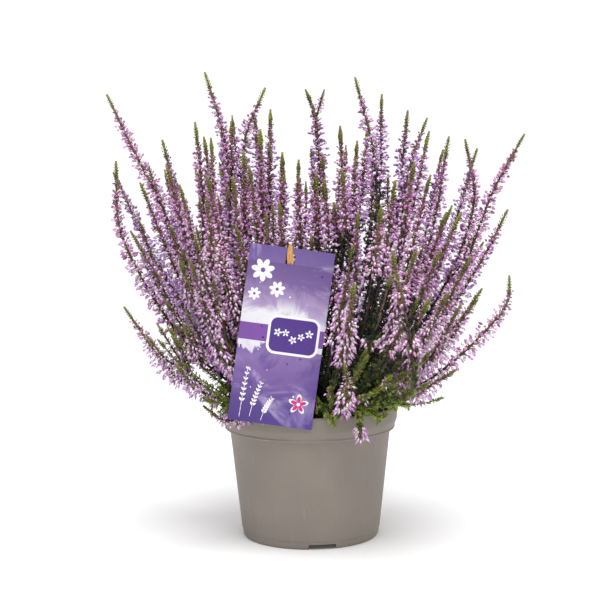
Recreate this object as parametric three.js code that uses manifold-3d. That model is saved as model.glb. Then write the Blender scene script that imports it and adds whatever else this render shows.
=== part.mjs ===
// Potted heather: a plastic nursery pot, a root ball, flowering sprays, a card label and its wooden stake.
// Millimetres, +Z up, the pot stands on z = 0 and the label faces -Y.
import * as THREE from 'three';
import Module from 'manifold-3d';
import { mergeVertices } from 'three/addons/utils/BufferGeometryUtils.js';

const wasm = await Module();
wasm.setup();

// Pot
const potHeight = 90;
const rimRadius = 59.8;
const bandFoot = 73.4;
const bodyTopRadius = 54.3;
const baseRadius = 46;
const wall = 1.7;
const floorRaise = 4;
const padRadius = 22;
const potSides = 36;
const notchWidth = 18.5;
const notchHeight = 3.5;
const notchAngles = [9, 129, 249];
const drainHoles = 8;
const drainRadius = 3.2;
const drainRing = 33;

// Root ball
const soilTop = 79;
const soilGap = 0.35;
const soilSides = 18;
const socketDepth = 13;

// Label and stake
const labelWidth = 54;
const labelHeight = 113.5;
const labelThickness = 0.6;
const labelFace = -60.8;
const labelTurn = -8.2;
const labelCentre = [-18.2, 142.7];
const bentStrip = 10;
const bendAngle = 20;
const slotWidth = 5.8;
const slotHeight = 6.2;
const slotAcross = -0.7;
const stakeAcross = -11.8;
const stakeFoot = 57;
const stakeTop = 201.8;
const stakeWidth = 4.2;
const stakeThick = 1.5;
const stakeLean = 0.105;

// Sprays
const stemRadius = 1.5;
const forkHeight = 87;
const twigRadius = 1;
const leafRadius = 3.8;
const whorl = 3;
const bloomStep = 6.6;
const leafStep = 15;
const spikeRadius = 6.2;
const touchGap = 0.7;
const spacingSlack = 1.2;
const bendRounds = 110;
const soilReach = 43;
const leanAtRim = 1.0;
const footSpacing = 10;
const stations = 18;

// Seen from the front, left to right and high to low. Every shoot ends at its last point, and passes
// through the points before it.
const frontSprays = [
  { tips: [[[-96, -15, 225], [-115, -10, 262], [-132, -5, 298]], [[-106, -36, 178], [-121, -37, 212], [-123, -35, 255]],
    [[-133, 25, 246]]] },
  { tips: [[[-107, -50, 240]], [[-108, 5, 252]], [[-95, -20, 268]]] },
  { tips: [[[-90, -60, 251]], [[-79, -78, 240]], [[-112, -50, 212]]] },
  { tips: [[[-73, -30, 279]], [[-52, 5, 262], [-66, 5, 313]], [[-61, 35, 280]]] },
  { tips: [[[-60, -55, 269]], [[-60, -75, 244]], [[-62, -90, 228]]] },
  { tips: [[[-45, 0, 262], [-30, 0, 301]], [[-32, -30, 274]], [[-25, 30, 288]]] },
  { tips: [[[-39, -45, 260]], [[-36, -58, 249]], [[-43, -66, 242]]] },
  { tips: [[[-17, -48, 257]], [[-12, -62, 253]], [[-19, -68, 230]]] },
  { tips: [[[-27, -66, 221]], [[-49, -72, 217]]] },
  { tips: [[[-72, -88, 196]]], leafy: [[-78, -80, 193], [-69, -80, 215]] },
  { tips: [[[6, 20, 280], [-1, 20, 301]], [[22, -10, 276]]], twin: [12, 22, 301] },
  { tips: [[[45, 0, 250], [32, 0, 308]], [[51, 15, 297]], [[31, -45, 266]]] },
  { tips: [[[16, -60, 248]], [[9, -70, 241]], [[3, -45, 246]]] },
  { tips: [[[67, 8, 245], [80, 10, 281]], [[93, -20, 268]], [[68, -50, 252]]] },
  { tips: [[[113, 5, 222], [107, 5, 266]], [[122, 0, 232], [143, 0, 270]]] },
  { tips: [[[115, -25, 190], [130, -25, 220]], [[96, -60, 221]], [[88, -48, 220]]] },
  { tips: [[[75, -65, 245]], [[55, -70, 241]], [[42, -85, 227]]] },
  { tips: [[[30, -80, 221]], [[27, -92, 204]], [[9, -84, 209]]] },
  { tips: [[[58, -80, 112], [57, -96, 147], [48, -101, 183], [45, -100, 202]], [[56, -112, 184]]],
    leafy: [[36, -96, 138], [38, -84, 109]] },
  { tips: [[[82, -85, 198]], [[100, -70, 192]]] },
  { tips: [[[115, -38, 146], [128, -35, 162], [129, -35, 179]], [[107, -60, 173]], [[92, -78, 165]]],
    leafy: [[83, -55, 104]] },
  { tips: [[[84, -92, 172]], [[72, -98, 169]], [[92, -62, 122]]], leafy: [[75, -72, 117]] },
  { tips: [[[65, -108, 169]], [[64, -95, 199]]], leafy: [[50, -90, 124], [47, -72, 104]] },
  { tips: [[[28, -105, 181]], [[24, -74, 98], [25, -88, 118], [23, -92, 132]], [[25, -54, 98], [30, -63, 81]]],
    leafy: [[5, -66, 102], [15, -75, 114]] },
  { tips: [[[-88, -44, 119], [-108, -42, 145], [-119, -40, 161]]], leafy: [[-91, -70, 150], [-96, -65, 143], [-68, -48, 105]] },
  { tips: [[[-31, -53, 97], [-40, -53, 88], [-53, -44, 86], [-67, -38, 96]]], leafy: [[-57, -56, 103]] },
];
const backSprays = 9;
const backTips = 3;

// Small repeatable random numbers
function makeRandom(seed) {
  let state = seed >>> 0;
  return () => {
    state = (Math.imul(1664525, state) + 1013904223) >>> 0;
    return state / 4294967296;
  };
}

function toManifold(geometry) {
  const bare = geometry.clone();
  bare.deleteAttribute('normal');
  bare.deleteAttribute('uv');
  const welded = mergeVertices(bare, 1e-4);
  return new wasm.Manifold(new wasm.Mesh({
    numProp: 3,
    vertProperties: new Float32Array(welded.attributes.position.array),
    triVerts: new Uint32Array(welded.index.array),
  }));
}

function toGeometry(solid) {
  const mesh = solid.getMesh();
  const geometry = new THREE.BufferGeometry();
  geometry.setAttribute('position', new THREE.BufferAttribute(new Float32Array(mesh.vertProperties), 3));
  geometry.setIndex(new THREE.BufferAttribute(new Uint32Array(mesh.triVerts), 1));
  return geometry;
}

// A closed solid turned about +Z from [radius, height] points that run from the axis out and back
function turned(profile, sides) {
  const points = profile.map(([radius, height]) => new THREE.Vector2(radius, height));
  const geometry = new THREE.LatheGeometry(points, sides);
  geometry.rotateX(Math.PI / 2);
  return dropEmptyFaces(geometry);
}

function dropEmptyFaces(geometry) {
  const welded = geometry.clone();
  welded.deleteAttribute('normal');
  welded.deleteAttribute('uv');
  const merged = mergeVertices(welded, 1e-4);
  const index = merged.index.array;
  const kept = [];
  for (let i = 0; i < index.length; i += 3) {
    const [a, b, c] = [index[i], index[i + 1], index[i + 2]];
    if (a !== b && b !== c && c !== a) kept.push(a, b, c);
  }
  merged.setIndex(kept);
  return merged;
}

function block(width, depth, height, x, y, z) {
  return toManifold(new THREE.BoxGeometry(width, depth, height).translate(x, y, z));
}

function potSolid() {
  const profile = [
    [0, 0], [padRadius, 0], [padRadius + 2, floorRaise], [42.6, floorRaise], [43.2, 0],
    [baseRadius - 1, 0], [baseRadius + 0.2, 1.5], [baseRadius + 0.8, 5.6], [bodyTopRadius, bandFoot - 0.6],
    [bodyTopRadius + 1.3, bandFoot], [bodyTopRadius + 3.4, bandFoot + 2.3], [rimRadius - 0.9, bandFoot + 6.5],
    [rimRadius, potHeight - 1.2], [rimRadius - 1, potHeight], [rimRadius - 2.1, potHeight - 1.2],
    [bodyTopRadius + 2.4, bandFoot + 5], [bodyTopRadius - wall, bandFoot - 1], [baseRadius - 1.6, floorRaise + 1.8],
    [padRadius + 1, floorRaise + 1.8], [padRadius - 1.2, 1.8], [0, 1.8],
  ];
  let solid = toManifold(turned(profile, potSides));
  for (const degrees of notchAngles) {
    const angle = THREE.MathUtils.degToRad(degrees - 90);
    const notch = new THREE.BoxGeometry(8, notchWidth, notchHeight * 2);
    notch.translate(baseRadius - 0.5, 0, 0).rotateZ(angle);
    solid = solid.subtract(toManifold(notch));
  }
  for (let i = 0; i < drainHoles; i++) {
    const angle = (i + 0.5) / drainHoles * Math.PI * 2;
    const hole = new THREE.CylinderGeometry(drainRadius, drainRadius, 8, 8).rotateX(Math.PI / 2);
    hole.translate(drainRing * Math.cos(angle), drainRing * Math.sin(angle), floorRaise);
    solid = solid.subtract(toManifold(hole));
  }
  return solid;
}

// Paths

function lengthOf(v) {
  return Math.hypot(v[0], v[1], v[2]);
}

function minus(a, b) {
  return [a[0] - b[0], a[1] - b[1], a[2] - b[2]];
}

function mixed(a, b, t) {
  return [a[0] + (b[0] - a[0]) * t, a[1] + (b[1] - a[1]) * t, a[2] + (b[2] - a[2]) * t];
}

function crossed(a, b) {
  return [a[1] * b[2] - a[2] * b[1], a[2] * b[0] - a[0] * b[2], a[0] * b[1] - a[1] * b[0]];
}

function unit(v) {
  const size = lengthOf(v);
  return [v[0] / size, v[1] / size, v[2] / size];
}

// Evenly spaced points on a smooth curve through the given ones
function smoothPath(through, count) {
  const curve = new THREE.CatmullRomCurve3(through.map((p) => new THREE.Vector3(...p)), false, 'centripetal');
  return curve.getSpacedPoints(count).map((p) => [p.x, p.y, p.z]);
}

// How far the tips of the dome stand from the middle of the soil, by their lean in degrees
function domeReach(lean) {
  if (lean < 35) return 232 - 0.35 * lean;
  return 220 - 3.1 * (lean - 35);
}

function backSprayList(random) {
  const list = [];
  for (let i = 0; i < backSprays; i++) {
    const tips = [];
    const heading = 12 + 156 * ((i * 0.618 + 0.15) % 1);
    const lean = 20 + 42 * ((i + 0.5) / backSprays);
    for (let j = 0; j < backTips; j++) {
      const turn = THREE.MathUtils.degToRad(heading + 15 * (j - 1) + 6 * (random() - 0.5));
      const tilt = lean + 13 * (j % 2) - 5 + 5 * (random() - 0.5);
      const reach = domeReach(tilt) * (0.92 + 0.08 * random());
      const side = reach * Math.sin(THREE.MathUtils.degToRad(tilt));
      const up = soilTop + reach * Math.cos(THREE.MathUtils.degToRad(tilt));
      tips.push([[side * Math.cos(turn), 0.86 * side * Math.sin(turn), up]]);
    }
    list.push({ tips });
  }
  return list;
}

// Where each spray comes out of the soil: the more its tips lean, the nearer the rim, and all kept apart
function feetOf(sprays) {
  const feet = sprays.map((spray) => {
    const ends = spray.tips.map((path) => path[path.length - 1]);
    const x = ends.reduce((sum, p) => sum + p[0], 0) / ends.length;
    const y = ends.reduce((sum, p) => sum + p[1], 0) / ends.length;
    const z = ends.reduce((sum, p) => sum + p[2], 0) / ends.length;
    const lean = Math.atan2(Math.hypot(x, y), z - soilTop);
    const out = soilReach * Math.min(1, lean / leanAtRim) / Math.hypot(x, y);
    return [out * x, out * y];
  });
  const stakePlace = [stakeAcross, stakeMiddle(soilTop)];
  for (let round = 0; round < 200; round++) {
    for (let i = 0; i < feet.length; i++) {
      for (let j = 0; j < i; j++) {
        const apart = Math.hypot(feet[i][0] - feet[j][0], feet[i][1] - feet[j][1]);
        if (apart >= footSpacing) continue;
        const push = 0.5 * (footSpacing - apart) / Math.max(apart, 0.01);
        for (const k of [0, 1]) {
          const shift = push * (feet[i][k] - feet[j][k]);
          feet[i][k] += shift;
          feet[j][k] -= shift;
        }
      }
      const fromStake = Math.hypot(feet[i][0] - stakePlace[0], feet[i][1] - stakePlace[1]);
      if (fromStake < 8) {
        feet[i][0] += (feet[i][0] - stakePlace[0]) * (8 / fromStake - 1);
        feet[i][1] += (feet[i][1] - stakePlace[1]) * (8 / fromStake - 1);
      }
      const out = Math.hypot(...feet[i]);
      if (out > soilReach) feet[i] = feet[i].map((v) => v * soilReach / out);
    }
  }
  return feet;
}

// Leaves and short side twigs widen a shoot as it leaves the fork
function leafWidth(along) {
  return 1.4 + (leafRadius - 1.4) * Math.min(1, Math.max(0, (along - 8) / 34));
}

// Half width of a shoot at a share of its length
function spikeWidth(share, total) {
  const bloom = Math.min(0.6 * total, 92);
  const start = 1 - bloom / total;
  const tip = 1 - Math.min(13, 0.12 * total) / total;
  if (share < start) return leafWidth(share * total);
  if (share > tip) return 1.9;
  const t = (share - start) / (tip - start);
  return spikeRadius * (0.62 + 0.38 * Math.sin(Math.PI * Math.min(1, 0.25 + 0.95 * t)));
}

// Every spray has a short leafy shoot that fills the bush between the flowering ones
function innerTip(spray, fork, random) {
  const first = spray.tips[0];
  const toTip = minus(first[first.length - 1], fork);
  const turn = 0.9 * (random() - 0.5);
  const reach = 62 + 22 * random();
  const flat = unit([toTip[0], toTip[1], 0.75 * Math.max(toTip[2], 30)]);
  const x = flat[0] * Math.cos(turn) - flat[1] * Math.sin(turn);
  const y = flat[0] * Math.sin(turn) + flat[1] * Math.cos(turn);
  return [fork[0] + reach * x, fork[1] + reach * y, fork[2] + reach * flat[2]];
}

function makeShoots(sprays, feet, random) {
  const shoots = [];
  sprays.forEach((spray, index) => {
    const fork = [feet[index][0], feet[index][1], forkHeight];
    const all = spray.tips.map((through) => ({ through, leafy: false }));
    for (const tip of spray.leafy ?? []) all.push({ through: [tip], leafy: true });
    all.push({ through: [innerTip(spray, fork, random)], leafy: true });
    for (const { through, leafy } of all) {
      const first = through[0];
      const span = lengthOf(minus(first, fork));
      const heading = Math.atan2(first[1] - fork[1], first[0] - fork[0]);
      const belly = mixed(fork, first, 0.5);
      const out = span * (0.05 + 0.05 * random());
      const aside = span * 0.06 * (random() - 0.5);
      belly[0] += out * Math.cos(heading) - aside * Math.sin(heading);
      belly[1] += out * Math.sin(heading) + aside * Math.cos(heading);
      const through2 = through.length > 1 && span < 60 ? [fork, ...through] : [fork, belly, ...through];
      const rest = smoothPath(through2, stations);
      let total = 0;
      for (let i = 1; i <= stations; i++) total += lengthOf(minus(rest[i], rest[i - 1]));
      const widths = rest.map((p, i) => {
        if (i * total / stations < 10) return 2.2;
        return leafy ? leafWidth(i * total / stations) : spikeWidth(i / stations, total);
      });
      shoots.push({ index, rest, leafy, total, widths, move: rest.map(() => [0, 0, 0]) });
    }
  });
  return shoots;
}

// Bends the shoots of different sprays clear of each other, of the rim, the label and the stake
function bendClear(shoots) {
  for (let round = 0; round < bendRounds; round++) {
    const now = shoots.map((s) => s.rest.map((p, i) => [p[0] + s.move[i][0], p[1] + s.move[i][1], p[2] + s.move[i][2]]));
    const push = shoots.map((s) => s.rest.map(() => [0, 0, 0]));
    for (let a = 0; a < shoots.length; a++) {
      for (let b = 0; b < a; b++) {
        const first = shoots[a].index === shoots[b].index ? 5 : 1;
        pushPair(now[a], now[b], shoots[a].widths, shoots[b].widths, push[a], push[b], first);
      }
    }
    shoots.forEach((shoot, s) => {
      for (let i = 1; i <= stations; i++) {
        const clear = clearOfHardParts(now[s][i], shoot.widths[i]);
        const steps = push[s][i];
        for (let k = 0; k < 3; k++) shoot.move[i][k] += 0.5 * steps[k] + clear[k];
      }
      evenOut(shoot);
    });
  }
}

function pushPair(pathA, pathB, widthsA, widthsB, pushA, pushB, first) {
  for (let i = first; i <= stations; i++) {
    for (let j = first; j <= stations; j++) {
      const need = widthsA[i] + widthsB[j] + touchGap + spacingSlack;
      const dx = pathA[i][0] - pathB[j][0];
      if (dx > need || dx < -need) continue;
      const dy = pathA[i][1] - pathB[j][1];
      const dz = pathA[i][2] - pathB[j][2];
      const apart = Math.hypot(dx, dy, dz);
      if (apart >= need) continue;
      const size = (need - apart) / Math.max(apart, 0.01) * 0.5;
      pushA[i][0] += dx * size;
      pushA[i][1] += dy * size;
      pushA[i][2] += dz * size;
      pushB[j][0] -= dx * size;
      pushB[j][1] -= dy * size;
      pushB[j][2] -= dz * size;
    }
  }
}

function clearOfHardParts(point, width) {
  const shift = [0, 0, 0];
  const [x, y, z] = point;
  const out = Math.hypot(x, y);
  // The pot's rim, seen as a ring with a round section
  const rimMiddle = rimRadius - 1.2;
  const rimNeed = width + 2.8 + touchGap;
  const toRim = Math.hypot(out - rimMiddle, z - (potHeight - 1.6));
  if (toRim < rimNeed && z > potHeight - 14) {
    const size = (rimNeed - toRim) / Math.max(toRim, 0.1);
    shift[2] += Math.max(z - (potHeight - 1.6), 0.5) * size;
    if (out > rimMiddle) {
      shift[0] += (out - rimMiddle) * size * x / out;
      shift[1] += (out - rimMiddle) * size * y / out;
    }
  }
  // The back of the label, with its top strip bent back
  const turn = THREE.MathUtils.degToRad(labelTurn);
  const across = (x - labelCentre[0]) * Math.cos(turn) + (z - labelCentre[1]) * Math.sin(turn);
  const up = (z - labelCentre[1]) * Math.cos(turn) - (x - labelCentre[0]) * Math.sin(turn);
  const nearLabel = Math.abs(across) < labelWidth / 2 + width && Math.abs(up) < labelHeight / 2 + width;
  const labelBack = labelFace + labelThickness + bentBack(up + 2) + touchGap + 0.6 + width;
  if (nearLabel && y < labelBack) shift[1] += labelBack - y;
  // The stake behind the label
  const stakeBack = stakeMiddle(z) + stakeThick / 2 + touchGap + width;
  const nearStake = Math.abs(x - stakeAcross) < stakeWidth / 2 + width + touchGap && z < stakeTop + width;
  if (nearStake && y < stakeBack) shift[1] += Math.max(0, stakeBack - y - shift[1]);
  return shift;
}

// A second short tip that leaves the first shoot of its spray near the end
function addTwins(sprays, shoots) {
  sprays.forEach((spray, index) => {
    if (!spray.twin) return;
    const parent = shoots.find((s) => s.index === index);
    const path = parent.rest.map((p, i) => p.map((v, k) => v + parent.move[i][k]));
    const rest = smoothPath([pointAt(path, 0.9), spray.twin], stations);
    const total = lengthOf(minus(spray.twin, rest[0]));
    shoots.push({ index, rest, leafy: true, total, widths: rest.map(() => 1.9), move: rest.map(() => [0, 0, 0]) });
  });
}

function evenOut(shoot) {
  const old = shoot.move.map((v) => [...v]);
  for (let i = 1; i <= stations; i++) {
    const next = old[Math.min(i + 1, stations)];
    for (let k = 0; k < 3; k++) {
      shoot.move[i][k] = 0.5 * old[i][k] + 0.25 * (old[i - 1][k] + next[k]);
    }
  }
  shoot.move[0] = [0, 0, 0];
}

// Rings of a shoot: budded whorls raised by turn and width, four to a ring, every other ring drawn in
function ringsOf(shoot, path) {
  const rings = [];
  const total = shoot.total;
  const bloom = shoot.leafy ? 0 : Math.min(0.6 * total, 92);
  const tip = shoot.leafy ? 8 : Math.min(13, 0.12 * total);
  const firstLeaf = 12;
  rings.push([0, twigRadius]);
  const leafCount = Math.max(1, Math.round((total - bloom - firstLeaf) / leafStep));
  for (let i = 0; i < leafCount; i++) {
    const at = firstLeaf + (total - bloom - firstLeaf) * i / leafCount;
    if (shoot.leafy && at > total - tip) continue;
    rings.push([at, i % 2 ? leafWidth(at) : 1.2 + 0.02 * at]);
  }
  if (!shoot.leafy) {
    const bloomCount = Math.max(4, 2 * Math.round((bloom - tip) / bloomStep / 2));
    for (let i = 0; i <= bloomCount; i++) {
      const at = total - bloom + (bloom - tip) * i / bloomCount;
      const wide = spikeWidth(Math.min(at, total - tip - 0.01) / total, total);
      rings.push([at, i % 2 ? wide : Math.max(1.7, 0.42 * wide)]);
    }
  }
  rings.push([total - 0.5 * tip, 1.8]);
  rings.sort((a, b) => a[0] - b[0]);
  return rings.map(([at, radius]) => ({ centre: pointAt(path, at / total), ahead: aheadAt(path, at / total), radius }));
}

function pointAt(path, share) {
  const place = Math.min(share * stations, stations - 1e-6);
  const i = Math.floor(place);
  return mixed(path[i], path[i + 1], place - i);
}

function aheadAt(path, share) {
  return unit(minus(pointAt(path, Math.min(share + 0.03, 1)), pointAt(path, Math.max(share - 0.03, 0))));
}

// A closed skin over the rings, with a point at the far end
function shootSolid(shoot) {
  const path = shoot.rest.map((p, i) => [p[0] + shoot.move[i][0], p[1] + shoot.move[i][1], p[2] + shoot.move[i][2]]);
  const rings = ringsOf(shoot, path);
  const heading = Math.atan2(path[stations][1] - path[0][1], path[stations][0] - path[0][0]);
  const side = [-Math.sin(heading), Math.cos(heading), 0];
  const vertices = [];
  const faces = [];
  rings.forEach(({ centre, ahead, radius }, i) => {
    const up = unit(crossed(ahead, side));
    const across = crossed(up, ahead);
    for (let k = 0; k < whorl; k++) {
      const angle = (k + (i % 2) * 0.5) * 2 * Math.PI / whorl + shoot.index;
      const c = radius * Math.cos(angle);
      const s = radius * Math.sin(angle);
      vertices.push(centre.map((v, n) => v + c * across[n] + s * up[n]));
    }
  });
  for (let i = 0; i + 1 < rings.length; i++) {
    const shifted = i % 2;
    for (let k = 0; k < whorl; k++) {
      const a = whorl * i + k;
      const b = whorl * i + (k + 1) % whorl;
      const c = whorl * (i + 1) + (k + shifted) % whorl;
      const d = whorl * (i + 1) + (k + shifted + whorl - 1) % whorl;
      faces.push([a, b, c], [a, c, d]);
    }
  }
  const last = whorl * (rings.length - 1);
  vertices.push(path[stations]);
  const point = vertices.length - 1;
  for (let k = 0; k < whorl; k++) faces.push([last + k, last + (k + 1) % whorl, point]);
  for (let k = 2; k < whorl; k++) faces.push([0, k, k - 1]);
  const mesh = new wasm.Mesh({
    numProp: 3,
    vertProperties: new Float32Array(vertices.flat()),
    triVerts: new Uint32Array(faces.flat()),
  });
  const solid = new wasm.Manifold(mesh);
  if (solid.volume() > 0) return solid;
  mesh.triVerts = new Uint32Array(faces.map(([a, b, c]) => [a, c, b]).flat());
  return new wasm.Manifold(mesh);
}

function stemSolid(foot, radius, bottom, top) {
  const stem = new THREE.CylinderGeometry(radius, radius, top - bottom, 4).rotateX(Math.PI / 2);
  return toManifold(stem.translate(foot[0], foot[1], (top + bottom) / 2));
}

function soilSolid(feet) {
  const top = bodyTopRadius - wall + (soilTop - 2.4 - bandFoot + 1) * 0.6;
  const floor = floorRaise + 1.8 + soilGap;
  const profile = [
    [0, 1.8 + soilGap], [padRadius - 1.9, 1.8 + soilGap], [padRadius + 0.7, floor], [baseRadius - 2.4, floor],
    [bodyTopRadius - wall - 0.9, bandFoot - 1], [top - 0.9, soilTop - 2.4], [46, soilTop - 0.4], [28, soilTop + 0.6],
    [0, soilTop + 1.2],
  ];
  const geometry = turned(profile, soilSides);
  const position = geometry.attributes.position;
  for (let i = 0; i < position.count; i++) {
    if (position.getZ(i) < soilTop - 1.5) continue;
    const wave = 0.7 * Math.sin(0.21 * position.getX(i) + 1) * Math.cos(0.17 * position.getY(i));
    position.setZ(i, position.getZ(i) + wave);
  }
  let solid = toManifold(geometry);
  const sockets = feet.map((foot) => stemSolid(foot, stemRadius + 0.5, soilTop - socketDepth, soilTop + 9));
  sockets.push(stakeSolid(0.4));
  solid = solid.subtract(wasm.Manifold.union(sockets));
  return solid;
}

// How far the label's top strip stands back at a height above the label's middle
function bentBack(up) {
  const above = Math.max(0, up - (labelHeight / 2 - bentStrip));
  return above * Math.tan(THREE.MathUtils.degToRad(bendAngle));
}

// The middle of the leaning stake at a height: it touches the back of the label where the strip bends
function stakeMiddle(height) {
  const bendHeight = 189.2;
  return labelFace + labelThickness + 0.35 + stakeThick / 2 - (height - bendHeight) * stakeLean;
}

function stakeSolid(grow) {
  const half = stakeWidth / 2 + grow;
  const top = stakeTop + grow;
  const outline = [
    [-half, stakeFoot - grow], [half, stakeFoot - grow], [half, stakeTop - 13], [half - 0.9, top - 2], [0.5, top],
    [-0.5, top], [0.9 - half, top - 2], [-half, stakeTop - 13],
  ];
  const shape = new THREE.Shape(outline.map(([x, y]) => new THREE.Vector2(x, y)));
  const depth = stakeThick + 2 * grow;
  const geometry = new THREE.ExtrudeGeometry(shape, { depth, bevelEnabled: false });
  geometry.translate(0, 0, -depth / 2).rotateX(Math.PI / 2);
  const position = geometry.attributes.position;
  for (let i = 0; i < position.count; i++) {
    const height = position.getZ(i);
    position.setX(i, position.getX(i) + stakeAcross);
    position.setY(i, position.getY(i) + stakeMiddle(height));
  }
  return toManifold(geometry);
}

function labelSolid() {
  const low = -labelHeight / 2;
  const bend = labelHeight / 2 - bentStrip;
  const high = labelHeight / 2;
  const side = [[0, low], [0, bend], [bentBack(high), high]];
  const outline = [...side, ...side.map(([y, v]) => [y + labelThickness, v]).reverse()];
  const shape = new THREE.Shape(outline.map(([y, v]) => new THREE.Vector2(y, v)));
  const geometry = new THREE.ExtrudeGeometry(shape, { depth: labelWidth, bevelEnabled: false });
  geometry.translate(0, 0, -labelWidth / 2);
  geometry.applyMatrix4(new THREE.Matrix4().set(0, 0, 1, 0, 1, 0, 0, 0, 0, 1, 0, 0, 0, 0, 0, 1));
  const slot = block(slotWidth, 12, slotHeight, slotAcross, 0, bend + slotHeight / 2 - 0.1);
  const card = toManifold(geometry).subtract(slot);
  return card.rotate([0, -labelTurn, 0]).translate([labelCentre[0], labelFace, labelCentre[1]]);
}

function spraySolid(index, foot, shoots) {
  const parts = [stemSolid(foot, stemRadius, soilTop - socketDepth + 0.5, forkHeight + 1.6)];
  for (const shoot of shoots.filter((s) => s.index === index)) parts.push(shootSolid(shoot));
  return outerBody(wasm.Manifold.union(parts));
}

// The outer skin alone, without pockets closed in between crossing shoots
function outerBody(solid) {
  const skins = solid.decompose();
  return skins.reduce((best, skin) => (skin.volume() > best.volume() ? skin : best));
}

function named(name, solid, color, roughness) {
  const mesh = new THREE.Mesh(toGeometry(solid), new THREE.MeshStandardMaterial({ color, roughness, metalness: 0 }));
  mesh.name = name;
  return mesh;
}

const random = makeRandom(2024);
const sprays = [...frontSprays, ...backSprayList(random)];
const feet = feetOf(sprays);
const shoots = makeShoots(sprays, feet, random);
bendClear(shoots);
addTwins(sprays, shoots);

const group = new THREE.Group();
group.name = 'potted_heather';
group.add(named('pot', potSolid(), 0x948c83, 0.62));
group.add(named('soil', soilSolid(feet), 0x2a211b, 0.95));
group.add(named('stake', stakeSolid(0), 0xcfa56c, 0.7));
group.add(named('label', labelSolid(), 0x8a78b8, 0.45));
feet.forEach((foot, index) => {
  const name = `spray_${String(index + 1).padStart(2, '0')}`;
  group.add(named(name, spraySolid(index, foot, shoots), 0xb98fcf, 0.8));
});

export default group;
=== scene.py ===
import math

import bmesh
import bpy
import numpy as np
from mathutils import Matrix, Vector


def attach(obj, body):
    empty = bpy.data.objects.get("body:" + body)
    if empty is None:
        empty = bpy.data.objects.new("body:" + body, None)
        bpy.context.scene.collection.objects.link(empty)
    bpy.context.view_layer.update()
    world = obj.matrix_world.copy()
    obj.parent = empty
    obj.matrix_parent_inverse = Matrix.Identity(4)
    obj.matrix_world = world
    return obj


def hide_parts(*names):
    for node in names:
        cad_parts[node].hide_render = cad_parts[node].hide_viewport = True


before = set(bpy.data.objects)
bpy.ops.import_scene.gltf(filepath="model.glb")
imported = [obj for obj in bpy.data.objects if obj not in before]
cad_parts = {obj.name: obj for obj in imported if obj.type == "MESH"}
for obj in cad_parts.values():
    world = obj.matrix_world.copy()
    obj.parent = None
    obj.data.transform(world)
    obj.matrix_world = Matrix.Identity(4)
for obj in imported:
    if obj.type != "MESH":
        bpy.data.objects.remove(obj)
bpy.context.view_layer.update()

# Potted bud heather. Lengths are millimetres until a mesh is made, which turns them to metres.
mm = 0.001
xAxis, yAxis, upAxis = np.eye(3)


# Small helpers


def linearColour(hexCode):
    parts = [int(hexCode[i:i + 2], 16) / 255 for i in (0, 2, 4)]
    return tuple(v / 12.92 if v <= 0.04045 else ((v + 0.055) / 1.055) ** 2.4 for v in parts) + (1.0,)


def makeRandom(seed):
    # the same small generator as the part's source, so that both place the same shoots
    state = [seed]

    def draw():
        state[0] = (1664525 * state[0] + 1013904223) & 0xFFFFFFFF
        return state[0] / 4294967296
    return draw


def unit(vector):
    return vector / np.linalg.norm(vector)


def turned(angle, first, second):
    # the first, turned by the angle towards the second
    return math.cos(angle) * first + math.sin(angle) * second


def newMaterial(name, roughness, **sockets):
    material = bpy.data.materials.new(name)
    material.use_nodes = True
    shader = material.node_tree.nodes["Principled BSDF"]
    shader.inputs["Roughness"].default_value = roughness
    for key, value in sockets.items():
        shader.inputs[key.replace("_", " ")].default_value = value
    return material, shader


def addNode(material, kind, values=None, links=None, stops=None, output=0, **settings):
    # adds one node: settings on the node, values on its sockets, links from other nodes, stops of a ramp;
    # gives back one of its outputs
    node = material.node_tree.nodes.new(kind)
    for key, value in settings.items():
        setattr(node, key, value)
    for key, value in (values or {}).items():
        node.inputs[key].default_value = value
    for key, source in (links or {}).items():
        material.node_tree.links.new(source, node.inputs[key])
    for i, (place, hexCode) in enumerate(stops or []):
        element = node.color_ramp.elements[i] if i < 2 else node.color_ramp.elements.new(place)
        element.position = place
        element.color = linearColour(hexCode)
    return node.outputs[output]


def linkTo(material, source, target):
    material.node_tree.links.new(source, target)


def colourLayers(material, shader, base, layers):
    # lays colours over the base; a layer is a value, where it starts, where it is full, its share, its colour
    for value, low, high, share, colour in layers:
        mask = addNode(material, "ShaderNodeMapRange", {"From Min": low, "From Max": high, "To Max": share},
                       {"Value": value}, interpolation_type="SMOOTHSTEP")
        base = addNode(material, "ShaderNodeMix", {7: linearColour(colour)}, {0: mask, 6: base}, output=2,
                       data_type="RGBA")
    linkTo(material, base, shader.inputs["Base Color"])


def meshFromBmesh(name, bm, material, smooth=True):
    bmesh.ops.transform(bm, matrix=Matrix.Scale(mm, 4), verts=bm.verts)
    mesh = bpy.data.meshes.new(name)
    bm.to_mesh(mesh)
    bm.free()
    mesh.polygons.foreach_set("use_smooth", [smooth] * len(mesh.polygons))
    piece = bpy.data.objects.new(name, mesh)
    bpy.context.scene.collection.objects.link(piece)
    mesh.materials.append(material)
    return piece


# Where the shoots run: the rules of the part's source, point for point

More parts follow.
